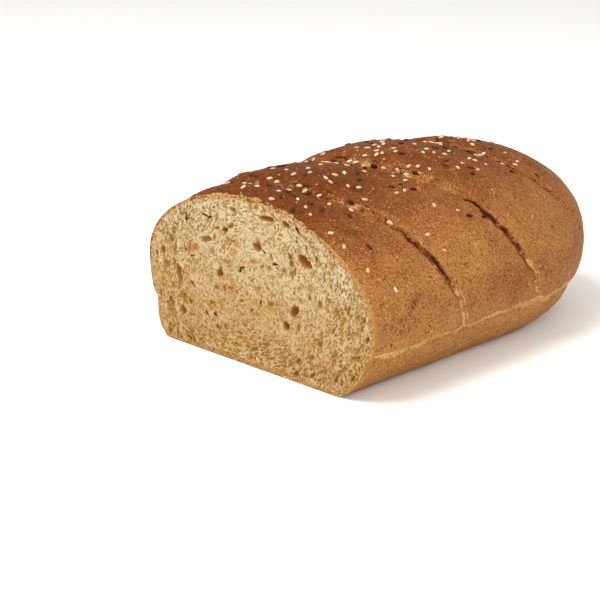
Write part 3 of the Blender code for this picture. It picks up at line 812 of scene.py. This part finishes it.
def pit_detail(plain, angle, pit):
    """A small pit in the crust, with painted shade in it."""
    sunk = hump(np.hypot(angle - pit.angle, plain[..., 1] - pit.y), pit.reach)
    return {"height": -0.5 * sunk, "crevice_shade": sunk}


def crack_detail(plain, angle):
    """The short crack on the right flank, with painted shade in it and its scorched lips."""
    start, end = FLANK_CRACK
    along = (angle - start[0]) / (end[0] - start[0])
    off = plain[..., 1] - start[1] - (end[1] - start[1]) * along + 0.9 * noise(plain, 4.0, 18)
    split = smooth_step(-0.2, 0.2, along) * smooth_step(1.2, 0.8, along)
    return {"crevice_shade": 0.8 * split * hump(off, 0.9), "scorched": split * hump(off, 1.8)}


def rim_detail(plain):
    """Crust that the knife frayed at the cut."""
    ragged = smooth_step(1.4, 0.2, plain[..., 1])
    return {
        "height": ragged * 0.25 * (rough(plain, 1.6, 13) - 0.6),
        "torn": ragged * (0.25 + 0.5 * noise(plain, 2.2, 19)),
    }


def browning(plain, angle, crest, scorched, raw):
    """How dark the crust baked: pale in the tin, darkest on the crest and along a scorched lip."""
    y, z = plain[..., 1], plain[..., 2]
    bake = 0.30 + 0.52 * smooth_step(*BAKED_SLOPE, slope(plain, OVEN_LEAN))
    bake += 0.12 * smooth_step(18.0, 34.0, z)
    bake += (0.08 + 0.12 * crest) * noise(plain, 24.0, 14) + 0.06 * noise(plain, 9.0, 15)
    bake += 0.05 * crest + 0.4 * scorched - 0.27 * raw
    # a little browner on the right flank by the cut, low down from the middle back, and at the end
    bake += 0.12 * smooth_step(84.0, 56.0, angle) * smooth_step(60.0, 15.0, y)
    bake += 0.10 * smooth_step(46.0, 36.0, z) * smooth_step(30.0, 75.0, y)
    bake += 0.05 * smooth_step(105.0, 150.0, y)
    bake = np.where(z < RIM_HEIGHT, np.minimum(bake, IN_TIN), bake)
    return bake + 0.05 * smooth_step(60.0, 15.0, y)


def crust_detail(plain, angle):
    """Fine relief along the crust's normal, and the fields that colour it."""
    crest = smooth_step(*CREST_SLOPE, slope(plain, 0.0))
    parts = [slash_detail(plain, angle, line, number) for number, line in enumerate(row_lines(angle))]
    parts += [pit_detail(plain, angle, pit) for pit in PITS]
    parts += [seam_detail(plain), crack_detail(plain, angle), rim_detail(plain)]
    height, torn, crevice_shade, scorched, raw = (
        sum(part.get(name, 0.0) for part in parts)
        for name in ("height", "torn", "crevice_shade", "scorched", "raw"))
    height = (height + skin_height(plain, crest)) * smooth_step(0.0, 3.0, plain[..., 2])
    return height, {
        "bake": browning(plain, angle, crest, scorched, raw),
        "torn": np.clip(torn, 0.0, 1.0),
        # painted shade in the cracks, creases and pits
        "crevice_shade": np.clip(crevice_shade, 0.0, 0.85),
    }


def grid_normals(points):
    """Outward normals of a grid of rings."""
    around = np.roll(points, -1, axis=1) - np.roll(points, 1, axis=1)
    along = np.gradient(points, axis=0)
    normals = np.cross(around, along)
    normals /= np.maximum(np.linalg.norm(normals, axis=-1, keepdims=True), 1e-9)
    middle = len(points) // 2
    outwards = points[middle, 0] - [0.0, points[middle, 0, 1], CORE_HEIGHT]
    return -normals if normals[middle, 0] @ outwards < 0.0 else normals


def crust_thickness(angle):
    """The crust's thickness at an angle."""
    flank, crest = CRUST_THICKNESS
    return flank + (crest - flank) * smooth_step(80.0, 20.0, np.abs(angle))


def crust_rings():
    """The crust's outer surface as rings from the cut to the far end, with its colour fields."""
    angles = column_angles()
    y = row_places(angles)
    angle = np.broadcast_to(angles, y.shape)
    plain = section_point(angle, y)
    surface = raised(plain)
    # the relief differs from side to side where the rings close: level it there
    pole = surface[-1].mean(axis=0)
    away = np.hypot(surface[..., 0] - pole[0], surface[..., 2] - pole[2])
    level = smooth_step(*POLE_LEVEL, away) * (y > CORE_LENGTH)
    surface[..., 1] += level * (pole[1] - surface[..., 1])
    normals = grid_normals(surface) * (1.0 - level)[..., None] + [0.0, 1.0, 0.0] * level[..., None]
    height, fields = crust_detail(plain, angle)
    finished = surface + normals * (height - FLUSH)[..., None]
    finished[..., 1] = np.maximum(finished[..., 1], FRONT_GAP)
    finished[..., 2] = np.maximum(finished[..., 2], 0.0)
    return angles, finished, fields


def make_crust(settings):
    """The crust: its outer surface, turned in at the cut and closed behind the crumb."""
    angles, outside, fields = crust_rings()
    core = np.array([0.0, 0.0, CORE_HEIGHT])
    flat = (outside[0] - core) * [1.0, 0.0, 1.0]
    reach = np.linalg.norm(flat, axis=-1, keepdims=True)
    inner = core + flat * (1.0 - crust_thickness(angles)[:, None] / reach)
    back, front = inner + [0.0, RECESS, 0.0], inner + [0.0, LIP_GAP, 0.0]
    rings = np.concatenate([back[None], front[None], outside])
    hub, tip = core + [0.0, RECESS, 0.0], outside[-1].mean(axis=0)
    points = np.concatenate([rings.reshape(-1, 3), [hub, tip]])
    numbers = np.arange(rings.shape[0] * rings.shape[1]).reshape(rings.shape[:2]).tolist()
    faces = [face for near, far in zip(numbers, numbers[1:]) for face in between(near, far)]
    faces += fan(numbers[0][::-1], len(points) - 2) + fan(numbers[-1], len(points) - 1)
    values = {
        name: np.concatenate([field[0], field[0], field.reshape(-1), [0.5, field[-1].mean()]])
        for name, field in fields.items()}
    return dressed("crust", points, faces, crust_material(settings), values)


# ---- crumb -------------------------------------------------------------------------------

class PoreMap:
    """The depth of the crumb's cells below the knife's cut, on a fine square grid."""

    def __init__(self):
        self.depth = np.zeros((int(MAP_SIZE[1] / PORE_STEP), int(MAP_SIZE[0] / PORE_STEP)))

    def window(self, middle, reach, axis):
        """The rows or columns of the grid that lie within reach of a place."""
        start = int((middle - reach - MAP_LOW[axis]) / PORE_STEP)
        end = int((middle + reach - MAP_LOW[axis]) / PORE_STEP) + 1
        return max(start, 0), min(end, self.depth.shape[1 - axis])

    def open_cell(self, x, z, long, short, tilt, depth, edge, wobble, phase):
        """Sinks one oval cell with steep walls and a round floor."""
        columns, rows = self.window(x, 1.3 * long, 0), self.window(z, 1.3 * long, 1)
        across, up = np.meshgrid(
            MAP_LOW[0] + np.arange(*columns) * PORE_STEP - x, MAP_LOW[1] + np.arange(*rows) * PORE_STEP - z)
        u = (across * math.cos(tilt) + up * math.sin(tilt)) / long
        v = (up * math.cos(tilt) - across * math.sin(tilt)) / short
        turn = np.arctan2(v, u)
        size = 1.0 + wobble * np.sin(2.0 * turn + phase) + 0.7 * wobble * np.sin(3.0 * turn + 2.3 * phase)
        inside = np.clip(1.0 - (u * u + v * v) / size ** 2, 0.0, 1.0)
        sunk = self.depth[slice(*rows), slice(*columns)]
        np.maximum(sunk, depth * inside ** edge, out=sunk)

    def at(self, x, z):
        """The depth at any place, read between the grid's points."""
        column = np.clip((x - MAP_LOW[0]) / PORE_STEP, 0.0, self.depth.shape[1] - 1.001)
        row = np.clip((z - MAP_LOW[1]) / PORE_STEP, 0.0, self.depth.shape[0] - 1.001)
        left, below = column.astype(int), row.astype(int)
        s, t = column - left, row - below
        lower = self.depth[below, left] * (1.0 - s) + self.depth[below, left + 1] * s
        upper = self.depth[below + 1, left] * (1.0 - s) + self.depth[below + 1, left + 1] * s
        return lower * (1.0 - t) + upper * t


def cut_outline(x, z):
    """Distance from the core point to the cut's edge towards each place, and that angle."""
    angle = np.degrees(np.arctan2(x, z - CORE_HEIGHT))
    rim = section_point(angle, 0.0 * angle)
    return np.hypot(rim[..., 0], rim[..., 2] - CORE_HEIGHT), angle


def draw_pores(settings):
    """Cells of every size: many fine ones, curled round the swirl, and the large gas holes."""
    random = np.random.RandomState(PORE_RANDOM)
    pores = PoreMap()
    for pore in PORES:
        count = round(pore.share * settings.cells)
        x = random.uniform(*PORE_ACROSS, count)
        z = random.uniform(0.0, CUT_HEIGHT, count)
        share = np.hypot(x, z - CORE_HEIGHT) / cut_outline(x, z)[0]
        size = random.uniform(*pore.size, count) * (1.0 - 0.35 * smooth_step(0.86, 1.0, share))
        stretch = 1.0 + random.gamma(2.0, 0.18, count) + 0.9 * smooth_step(0.3, 0.9, share)
        curl = np.arctan2(z - SWIRL[1], x - SWIRL[0]) + 0.5 * math.pi
        curl += random.normal(0.0, 1.0, count) * (0.9 - 0.6 * smooth_step(0.1, 0.6, share))
        phase = random.uniform(0.0, math.tau, count)
        depth = random.uniform(*pore.depth, count) * (1.0 + 0.6 * smooth_step(0.45, 0.9, share))
        for n in np.nonzero(share < PORE_EDGE)[0]:
            pores.open_cell(x[n], z[n], size[n] * stretch[n] ** 0.6, size[n] / stretch[n] ** 0.4,
                            curl[n], depth[n], pore.edge, PORE_WOBBLE, phase[n])
    for number, hole in enumerate(HOLES + CELLS):
        pores.open_cell(hole.x, hole.z, 0.5 * hole.long, 0.5 * hole.short, math.radians(hole.tilt),
                        hole.depth, HOLE_EDGE, HOLE_WOBBLE, 1.7 * number)
    return pores


def crumb_grid():
    """The cut's grid of points, drawn in to the crust: x, z, angle, the share of the way out that
    each lies at, and the distance to the edge there."""
    top = CUT_HEIGHT - CORE_HEIGHT
    across = np.linspace(-CRUMB_HALF, CRUMB_HALF, CRUMB_COLUMNS + 1)
    up = np.linspace(-CORE_HEIGHT, top, CRUMB_ROWS + 1)
    x, z = np.meshgrid(across, up)
    part = np.maximum(np.abs(x) / CRUMB_HALF, np.where(z > 0.0, z / top, -z / CORE_HEIGHT))
    reach, angle = cut_outline(x, z + CORE_HEIGHT)
    inner = reach - crust_thickness(angle) + CRUMB_LAP
    scale = part * inner / np.maximum(np.hypot(x, z), 1e-6)
    return x * scale, CORE_HEIGHT + z * scale, angle, part, inner


def crumb_depth(pores, x, z, angle, part):
    """The crumb's depth below the knife's cut, with its roughness, curled like the cells."""
    places = np.stack([x, 0.0 * x, z], axis=-1)
    depth = pores.at(x, z) + 0.06 * (1.0 + rough(places, 1.1, 41)) + 0.08 * (1.0 + noise(places, 6.0, 44))
    curled = np.stack([12.0 * np.radians(angle), 0.0 * x, np.hypot(x, z - CORE_HEIGHT)], axis=-1)
    depth = np.maximum(depth + 0.24 * rough(curled, 1.6, 47) * smooth_step(0.35, 0.9, part), 0.0)
    return EDGE_DEPTH + (depth - EDGE_DEPTH) * smooth_step(1.0, PORE_EDGE, part)


def make_crumb(settings):
    """The crumb: the cut with its cells, and a closed back that the crust hides."""
    x, z, angle, part, inner = crumb_grid()
    depth = crumb_depth(draw_pores(settings), x, z, angle, part)
    face = np.stack([x, CRUMB_FRONT + depth, z], axis=-1).reshape(-1, 3)
    numbers = np.arange(x.size).reshape(x.shape)
    edge = np.concatenate([numbers[0, :-1], numbers[:-1, -1], numbers[-1, :0:-1], numbers[:0:-1, 0]])
    back = RECESS - CRUMB_GAP
    behind = face[edge] * [1.0, 0.0, 1.0] + [0.0, back, 0.0]
    points = np.concatenate([face, behind, [[0.0, back, CORE_HEIGHT]]])
    corners = [numbers[:-1, :-1], numbers[:-1, 1:], numbers[1:, 1:], numbers[1:, :-1]]
    faces = np.stack(corners, axis=-1).reshape(-1, 4).tolist()
    ring = list(range(x.size, x.size + len(edge)))[::-1]
    faces += between(edge[::-1].tolist(), ring) + fan(ring, len(points) - 1)
    # golden and darker the deeper a cell goes, partly the cells' own tone and partly painted shade, and
    # darker towards the bottom of the cut, which is painted shade
    golden_and_shaded = (depth / DEEPEST) ** 0.8 + 0.15 * smooth_step(70.0, 10.0, z)
    browned = smooth_step(5.0, 0.0, inner * (1.0 - part)) ** 1.5
    fields = {
        name: np.concatenate([field.reshape(-1), np.ones(len(edge) + 1)])
        for name, field in (("depth", golden_and_shaded), ("edge", browned))}
    return dressed("crumb", points, faces, crumb_material(settings), fields)


# ---- seeds, flakes and bran ----------------------------------------------------------------

def seed_chance(angle, y):
    """How thickly the crest is seeded at a place, from 0 to 1."""
    return hump(angle - SEED_MIDDLE, SEED_CREST, 4) * smooth_step(SEED_END, SEED_END - SEED_FADE, y)


def rolled(angle, y):
    """The y of a seed after it has rolled towards a slash beside it."""
    for slash in SLASHES:
        off = y - slash_line(slash, angle)
        y -= ROLL_SHARE * off * hump(off, ROLL_REACH)
    return y


def seed_spin(turns, angle, y):
    """A seed's turn about the crust's normal: any, or along the slash that it lies in."""
    in_slash = min(abs(y - slash_line(slash, angle)) for slash in SLASHES) < IN_SLASH * ROLL_REACH
    return math.radians(turns.uniform(*ROLLED_SPIN) if in_slash else turns.uniform(0.0, 360.0))


def seed_places(random):
    """Kind, angle and y of every seed: the strays first, then the crest's, larger seeds first."""
    places = [(kind, float(angle), float(y)) for kind, angle, y in STRAY_SEEDS]
    centres = [crust_point(np.array(angle), np.array(y)) for _, angle, y in places]
    for number, (kind, count) in enumerate(SEED_COUNTS + MORE_SEEDS):
        gap = SEED_GAP if number < len(SEED_COUNTS) else MORE_GAP
        wanted = len(places) + count
        while len(places) < wanted:
            angle = random.uniform(*SEED_ANGLES)
            y = random.uniform(SEED_START, SEED_END)
            if random.uniform(0.0, 1.0) > seed_chance(angle, y):
                continue
            y = rolled(angle, y)
            centre = crust_point(np.array(angle), np.array(y))
            if min(np.linalg.norm(centre - other) for other in centres) < gap:
                continue
            places.append((kind, angle, y))
            centres.append(centre)
    return places


Laid = namedtuple("Laid", "kind place turn size tone")


def lay_seeds(crust):
    """Every seed's kind, place on the crust, turn, size and tone."""
    turns = np.random.RandomState(SEED_RANDOM + 1)
    tones = np.random.RandomState(SEED_RANDOM + 2)
    tree = surface_tree(crust)
    forwards = Vector((0.0, 1.0, 0.0))
    laid = []
    for kind, angle, y in seed_places(np.random.RandomState(SEED_RANDOM)):
        spin = seed_spin(turns, angle, y)
        size = 1.0 + SEED_VARIATION * turns.uniform(-1.0, 1.0)
        middle = Vector((crust_point(np.array(angle), np.array(y)) + centring()) * MM)
        ground, outwards, _, _ = tree.find_nearest(middle)
        flat = (forwards - outwards * forwards.dot(outwards)).normalized()
        turn = facing(Matrix.Rotation(spin, 3, outwards) @ flat, outwards)
        laid.append(Laid(kind, ground + outwards * kind.raised * MM, turn, size, tones.uniform(0.0, 1.0)))
    return laid


def lay_flakes(crust):
    """Flakes that lean out of the crust where it tore, the more so where it tore most."""
    random = np.random.RandomState(FLAKE_RANDOM)
    corners = crust.data.vertices
    torn = np.empty(len(corners), np.float32)
    crust.data.attributes["torn"].data.foreach_get("value", torn)
    likely = np.clip(torn.astype(float) - 0.25, 0.0, 0.6) ** 2
    likely[[corner.co.z < FLAKE_FLOOR * MM for corner in corners]] = 0.0
    chosen = random.choice(len(corners), FLAKE_COUNT, replace=False, p=likely / likely.sum())
    laid = []
    for number in chosen.tolist():
        outwards = corners[number].normal
        side = outwards.orthogonal().normalized()
        along = Matrix.Rotation(random.uniform(0.0, math.tau), 3, outwards) @ side
        lean = Matrix.Rotation(
            math.radians(random.uniform(-FLAKE_LEAN, FLAKE_LEAN)), 3, outwards.cross(along))
        turn = facing(lean @ along, lean @ outwards)
        size = random.uniform(*FLAKE_SIZES)
        laid.append(Laid(FLAKE, corners[number].co.copy(), turn, size, random.uniform(0.0, 1.0)))
    return laid


def lay_bran_and_gap_shade(crumb):
    """Dark flakes pressed into the crumb: painted shade at the listed shadowed gaps, and flecks of bran
    anywhere on the cut.
    """
    random = np.random.RandomState(BRAN_RANDOM)
    # painted shade: the listed places get dark flakes where the cut shows shadowed gaps
    places = [(*place, SHADED_GAP_SIZE) for place in SHADED_GAP_PLACES]
    while len(places) < len(SHADED_GAP_PLACES) + BRAN_COUNT:
        x, z = random.uniform(*BRAN_ACROSS), random.uniform(0.0, CUT_HEIGHT)
        reach, _ = cut_outline(np.array(x), np.array(z))
        if math.hypot(x, z - CORE_HEIGHT) < BRAN_EDGE * reach:
            places.append((x, z, random.uniform(0.0, 180.0), random.uniform(*BRAN_SIZES)))
    tree = surface_tree(crumb)
    outwards = Vector((0.0, -1.0, 0.0))
    laid = []
    for x, z, tilt, size in places:
        start = Vector((np.array([x, -5.0, z]) + centring()) * MM)
        ground, _, _, _ = tree.ray_cast(start, -outwards)
        along = Vector((math.cos(math.radians(tilt)), 0.0, math.sin(math.radians(tilt))))
        laid.append(Laid(BRAN_AND_GAP_SHADE, ground, facing(along, outwards), size, random.uniform(0.0, 1.0)))
    return laid


def seed_tree(name, kind, material):
    """Geometry nodes that lay a tapered, flattened, uneven grain or flake on every point, with the
    identifiers of their inputs."""
    tree = bpy.data.node_groups.new(name, "GeometryNodeTree")
    tree.interface.new_socket("Points", in_out="INPUT", socket_type="NodeSocketGeometry")
    identifiers = {}
    for label, value in (
            ("Length", kind.length * MM), ("Width", kind.width * MM), ("Thickness", kind.thick * MM),
            ("Taper", kind.taper), ("Unevenness", kind.uneven * MM)):
        socket = tree.interface.new_socket(label, in_out="INPUT", socket_type="NodeSocketFloat")
        socket.default_value = value
        identifiers[label] = socket.identifier
    tree.interface.new_socket("Seeds", in_out="OUTPUT", socket_type="NodeSocketGeometry")
    given = add_node(tree, "NodeGroupInput").outputs
    position = add_node(tree, "GeometryNodeInputPosition")

    # a ball drawn out along its own length, and slimmer towards one end
    ball = add_node(tree, "GeometryNodeMeshUVSphere", {
        "Segments": GRAIN_SIDES, "Rings": GRAIN_RINGS, "Radius": 0.5})
    at = add_node(tree, "ShaderNodeSeparateXYZ", {0: position}).outputs
    leaner = add_node(tree, "ShaderNodeMath", {0: at["Z"], 1: given["Taper"]}, operation="MULTIPLY")
    slim = add_node(tree, "ShaderNodeMath", {0: 1.0, 1: leaner}, operation="SUBTRACT")
    sides = [add_node(tree, "ShaderNodeMath", {0: at["Z"], 1: given["Length"]}, operation="MULTIPLY")]
    for axis, label in (("X", "Width"), ("Y", "Thickness")):
        slimmed = add_node(tree, "ShaderNodeMath", {0: at[axis], 1: slim}, operation="MULTIPLY")
        sides.append(add_node(tree, "ShaderNodeMath", {0: slimmed, 1: given[label]}, operation="MULTIPLY"))
    drop = add_node(tree, "ShaderNodeCombineXYZ", dict(enumerate(sides)))
    shaped = add_node(tree, "GeometryNodeSetPosition", {"Geometry": ball, "Position": drop})
    turn, size = (
        add_node(tree, "GeometryNodeInputNamedAttribute", {"Name": field}, data_type="FLOAT_VECTOR")
        for field in ("turn", "size"))
    scattered = add_node(tree, "GeometryNodeInstanceOnPoints", {
        "Points": given["Points"], "Instance": shaped, "Rotation": turn, "Scale": size})
    real = add_node(tree, "GeometryNodeRealizeInstances", {"Geometry": scattered})

    # lumps that differ from one grain to the next
    lumps = add_node(tree, "ShaderNodeTexNoise", {
        "Vector": position, "Scale": per_metre(LUMP_SIZE), "W": float(kind.random)}, noise_dimensions="4D")
    middle = add_node(tree, "ShaderNodeVectorMath", {
        0: lumps.outputs["Color"], 1: (0.5,) * 3}, operation="SUBTRACT")
    uneven = add_node(tree, "ShaderNodeVectorMath", {
        0: middle, "Scale": given["Unevenness"]}, operation="SCALE")
    nudged = add_node(tree, "GeometryNodeSetPosition", {"Geometry": real, "Offset": uneven})
    soft = add_node(tree, "GeometryNodeSetShadeSmooth", {"Geometry": nudged})
    coated = add_node(tree, "GeometryNodeSetMaterial", {"Geometry": soft, "Material": material})
    add_node(tree, "NodeGroupOutput", {0: coated})
    return tree, identifiers


def scatter(name, kind, laid, material):
    """Lays grains of a kind on a cloud of points and keeps the result as a plain mesh."""
    cloud = bpy.data.meshes.new(name + " points")
    cloud.from_pydata([grain.place for grain in laid], [], [])
    for field, data_type, label, values in (
            ("turn", "FLOAT_VECTOR", "vector", [value for grain in laid for value in grain.turn]),
            ("size", "FLOAT_VECTOR", "vector", [grain.size for grain in laid for _ in range(3)]),
            ("tone", "FLOAT", "value", [grain.tone for grain in laid])):
        cloud.attributes.new(field, data_type, "POINT").data.foreach_set(label, values)
    holder = bpy.data.objects.new(name, cloud)
    bpy.context.scene.collection.objects.link(holder)
    modifier = holder.modifiers.new(name, "NODES")
    modifier.node_group, identifiers = seed_tree(name, kind, material)
    modifier[identifiers["Length"]] = kind.length * MM
    depsgraph = bpy.context.evaluated_depsgraph_get()
    result = bpy.data.meshes.new_from_object(holder.evaluated_get(depsgraph))
    bpy.data.objects.remove(holder)
    return declared(bpy.data.objects.new(name, result))


# ---- stage -------------------------------------------------------------------------------

def aimed(name, data, place, forwards):
    """Stands a lamp or a camera in the scene, looking in a direction."""
    standing = bpy.data.objects.new(name, data)
    standing.location = place
    standing.rotation_mode = "QUATERNION"
    standing.rotation_quaternion = forwards.to_track_quat("-Z", "Y")
    bpy.context.scene.collection.objects.link(standing)
    return standing


def make_floor(settings):
    """A pale sheet under the loaf."""
    floor = bpy.data.meshes.new("floor")
    corners = ((-1.0, -1.0), (1.0, -1.0), (1.0, 1.0), (-1.0, 1.0))
    floor.from_pydata([(x * FLOOR_HALF, y * FLOOR_HALF, 0.0) for x, y in corners], [], [(0, 1, 2, 3)])
    material, tree, shader = new_material("pale paper sweep")
    fill_inputs(tree, shader, {
        "Base Color": (*settings.floor_colour, 1.0), "Roughness": 0.9, "Specular IOR Level": 0.1})
    floor.materials.append(material)
    table = bpy.data.objects.new("floor", floor)
    table.location.z = -FLOOR_DROP
    bpy.context.scene.collection.objects.link(table)


def make_stage(settings):
    """The floor, an even light with two softboxes, and the camera."""
    scene = bpy.context.scene
    scene.view_settings.view_transform = "Standard"
    make_floor(settings)
    scene.world = bpy.data.worlds.new("studio")
    scene.world.use_nodes = True
    tree = scene.world.node_tree
    fill_inputs(tree, tree.nodes["Background"], {"Color": WARM_WHITE, "Strength": settings.fill})
    for box in SOFTBOXES:
        light = bpy.data.lights.new(box.name, "AREA")
        light.shape = "SQUARE"
        light.size = box.size
        light.energy = box.share * settings.key
        aimed(box.name, light, box.place, Vector(LIGHT_AIM) - Vector(box.place))

    camera = bpy.data.cameras.new("camera")
    camera.lens = CAMERA_LENS
    camera.sensor_width = SENSOR_WIDTH
    azimuth, elevation = math.radians(CAMERA_AZIMUTH), math.radians(CAMERA_ELEVATION)
    level = math.cos(elevation)
    back = Vector((math.sin(azimuth) * level, -math.cos(azimuth) * level, math.sin(elevation)))
    place = (Vector(np.array(CAMERA_AIM) + centring()) + back * CAMERA_DISTANCE) * MM
    scene.camera = aimed("camera", camera, place, -back)


# ---- settings, operators and panel ---------------------------------------------------------

def colour_setting(name, description, colour):
    """A setting that holds a colour, given in hex."""
    return FloatVectorProperty(
        name=name, description=description, subtype="COLOR", default=linear(colour), min=0.0, max=1.0)


class LoafSettings(bpy.types.PropertyGroup):
    """Sizes and colours that a baker would change."""
    peel: FloatProperty(
        name="Crust Roughness", description="Strength of the crust's fine orange-peel texture",
        default=0.55, min=0.0, max=1.0, subtype="FACTOR")
    grain: FloatProperty(
        name="Crumb Grain", description="Strength of the texture between the crumb's cells",
        default=0.6, min=0.0, max=1.0, subtype="FACTOR")
    cells: IntProperty(
        name="Crumb Cells", description="How many small gas cells the cut opens", default=10400, min=0)
    sesame_pale: colour_setting("Pale Sesame", "Colour of the palest sesame", "#C9B793")
    sesame_dark: colour_setting("Toasted Sesame", "Colour of the most toasted sesame", "#B38E5C")
    linseed_pale: colour_setting("Grey Linseed", "Colour of the palest linseed", "#54301A")
    linseed_dark: colour_setting("Dark Linseed", "Colour of the darkest linseed", "#1C0D06")
    flake_pale: colour_setting("Pale Flakes", "Colour of the palest flakes of torn crust", "#CDB382")
    flake_dark: colour_setting("Baked Flakes", "Colour of the most baked flakes", "#8F5B2C")
    bran_and_gap_shade_pale: colour_setting("Light Bran and Gap Shade", "Colour of the lightest flecks of bran and of painted gap shade", "#5F3419")
    bran_and_gap_shade_dark: colour_setting("Dark Bran and Gap Shade", "Colour of the darkest flecks of bran and of painted gap shade", "#2C150A")
    floor_colour: colour_setting("Floor", "Colour of the sweep under the loaf", "#F7F6F4")
    fill: FloatProperty(
        name="Fill Light", description="Brightness of the room's even light", default=0.8, min=0.0)
    key: FloatProperty(
        name="Key Light", description="Power of the main softbox", default=14.0, min=0.0, unit="POWER")


class BREAD_OT_crust(bpy.types.Operator):
    """Make the browned crust with its slashes and torn seam"""
    bl_idname = "bread.make_crust"
    bl_label = "Crust"

    def execute(self, context):
        make_crust(context.scene.bread)
        return {"FINISHED"}


class BREAD_OT_crumb(bpy.types.Operator):
    """Make the open crumb of the cut"""
    bl_idname = "bread.make_crumb"
    bl_label = "Crumb"

    def execute(self, context):
        make_crumb(context.scene.bread)
        return {"FINISHED"}


class BREAD_OT_seeds(bpy.types.Operator):
    """Scatter the sesame and the linseed over the crest"""
    bl_idname = "bread.scatter_seeds"
    bl_label = "Seeds"

    def execute(self, context):
        settings = context.scene.bread
        laid = lay_seeds(bpy.data.objects["crust"])
        sesame = seed_material("hulled sesame, toasted", settings.sesame_pale, settings.sesame_dark, 0.5, 0.3)
        linseed = seed_material("brown linseed", settings.linseed_pale, settings.linseed_dark, 0.4, 0.04)
        for name, slot, kind, material in (
                ("sesame_seeds", "toasted_sesame", SESAME, sesame),
                ("linseeds", "brown_linseed", LINSEED, linseed)):
            scatter(name, kind, [grain for grain in laid if grain.kind is kind], material)
        return {"FINISHED"}


class BREAD_OT_flakes(bpy.types.Operator):
    """Scatter flakes of torn crust, flecks of bran, and dark flakes as painted shade in the crumb's gaps"""
    bl_idname = "bread.scatter_flakes"
    bl_label = "Flakes, Bran and Gap Shade"

    def execute(self, context):
        settings = context.scene.bread
        torn = seed_material("flakes of torn crust", settings.flake_pale, settings.flake_dark, 0.8, 0.1)
        bran_gap_shade_coat = seed_material("spelt bran and painted gap shade", settings.bran_and_gap_shade_pale, settings.bran_and_gap_shade_dark, 0.8, 0.02)
        scatter("crust_flakes", FLAKE, lay_flakes(bpy.data.objects["crust"]), torn)
        scatter("bran_and_gap_shade_flecks", BRAN_AND_GAP_SHADE, lay_bran_and_gap_shade(bpy.data.objects["crumb"]), bran_gap_shade_coat)
        return {"FINISHED"}


class BREAD_OT_stage(bpy.types.Operator):
    """Set the floor, the soft light and the camera"""
    bl_idname = "bread.set_stage"
    bl_label = "Stage"

    def execute(self, context):
        make_stage(context.scene.bread)
        return {"FINISHED"}


class BREAD_PT_panel(bpy.types.Panel):
    """Lists the loaf's settings and the operators that make it"""
    bl_idname = "BREAD_PT_panel"
    bl_label = "Spelt Bread Loaf"
    bl_space_type = "VIEW_3D"
    bl_region_type = "UI"
    bl_category = "Bread"

    def draw(self, context):
        for name in LoafSettings.__annotations__:
            self.layout.prop(context.scene.bread, name)
        for operator in OPERATORS:
            self.layout.operator(operator.bl_idname)


OPERATORS = (BREAD_OT_stage, BREAD_OT_crust, BREAD_OT_crumb, BREAD_OT_seeds, BREAD_OT_flakes)
CLASSES = (LoafSettings,) + OPERATORS + (BREAD_PT_panel,)


def register():
    for one in CLASSES:
        bpy.utils.register_class(one)
    bpy.types.Scene.bread = PointerProperty(type=LoafSettings)


def unregister():
    del bpy.types.Scene.bread
    for one in reversed(CLASSES):
        bpy.utils.unregister_class(one)


def main():
    register()
    bpy.ops.bread.set_stage()
    bpy.ops.bread.make_crust()
    bpy.ops.bread.make_crumb()
    bpy.ops.bread.scatter_seeds()
    bpy.ops.bread.scatter_flakes()


if __name__ == "__main__":
    main()
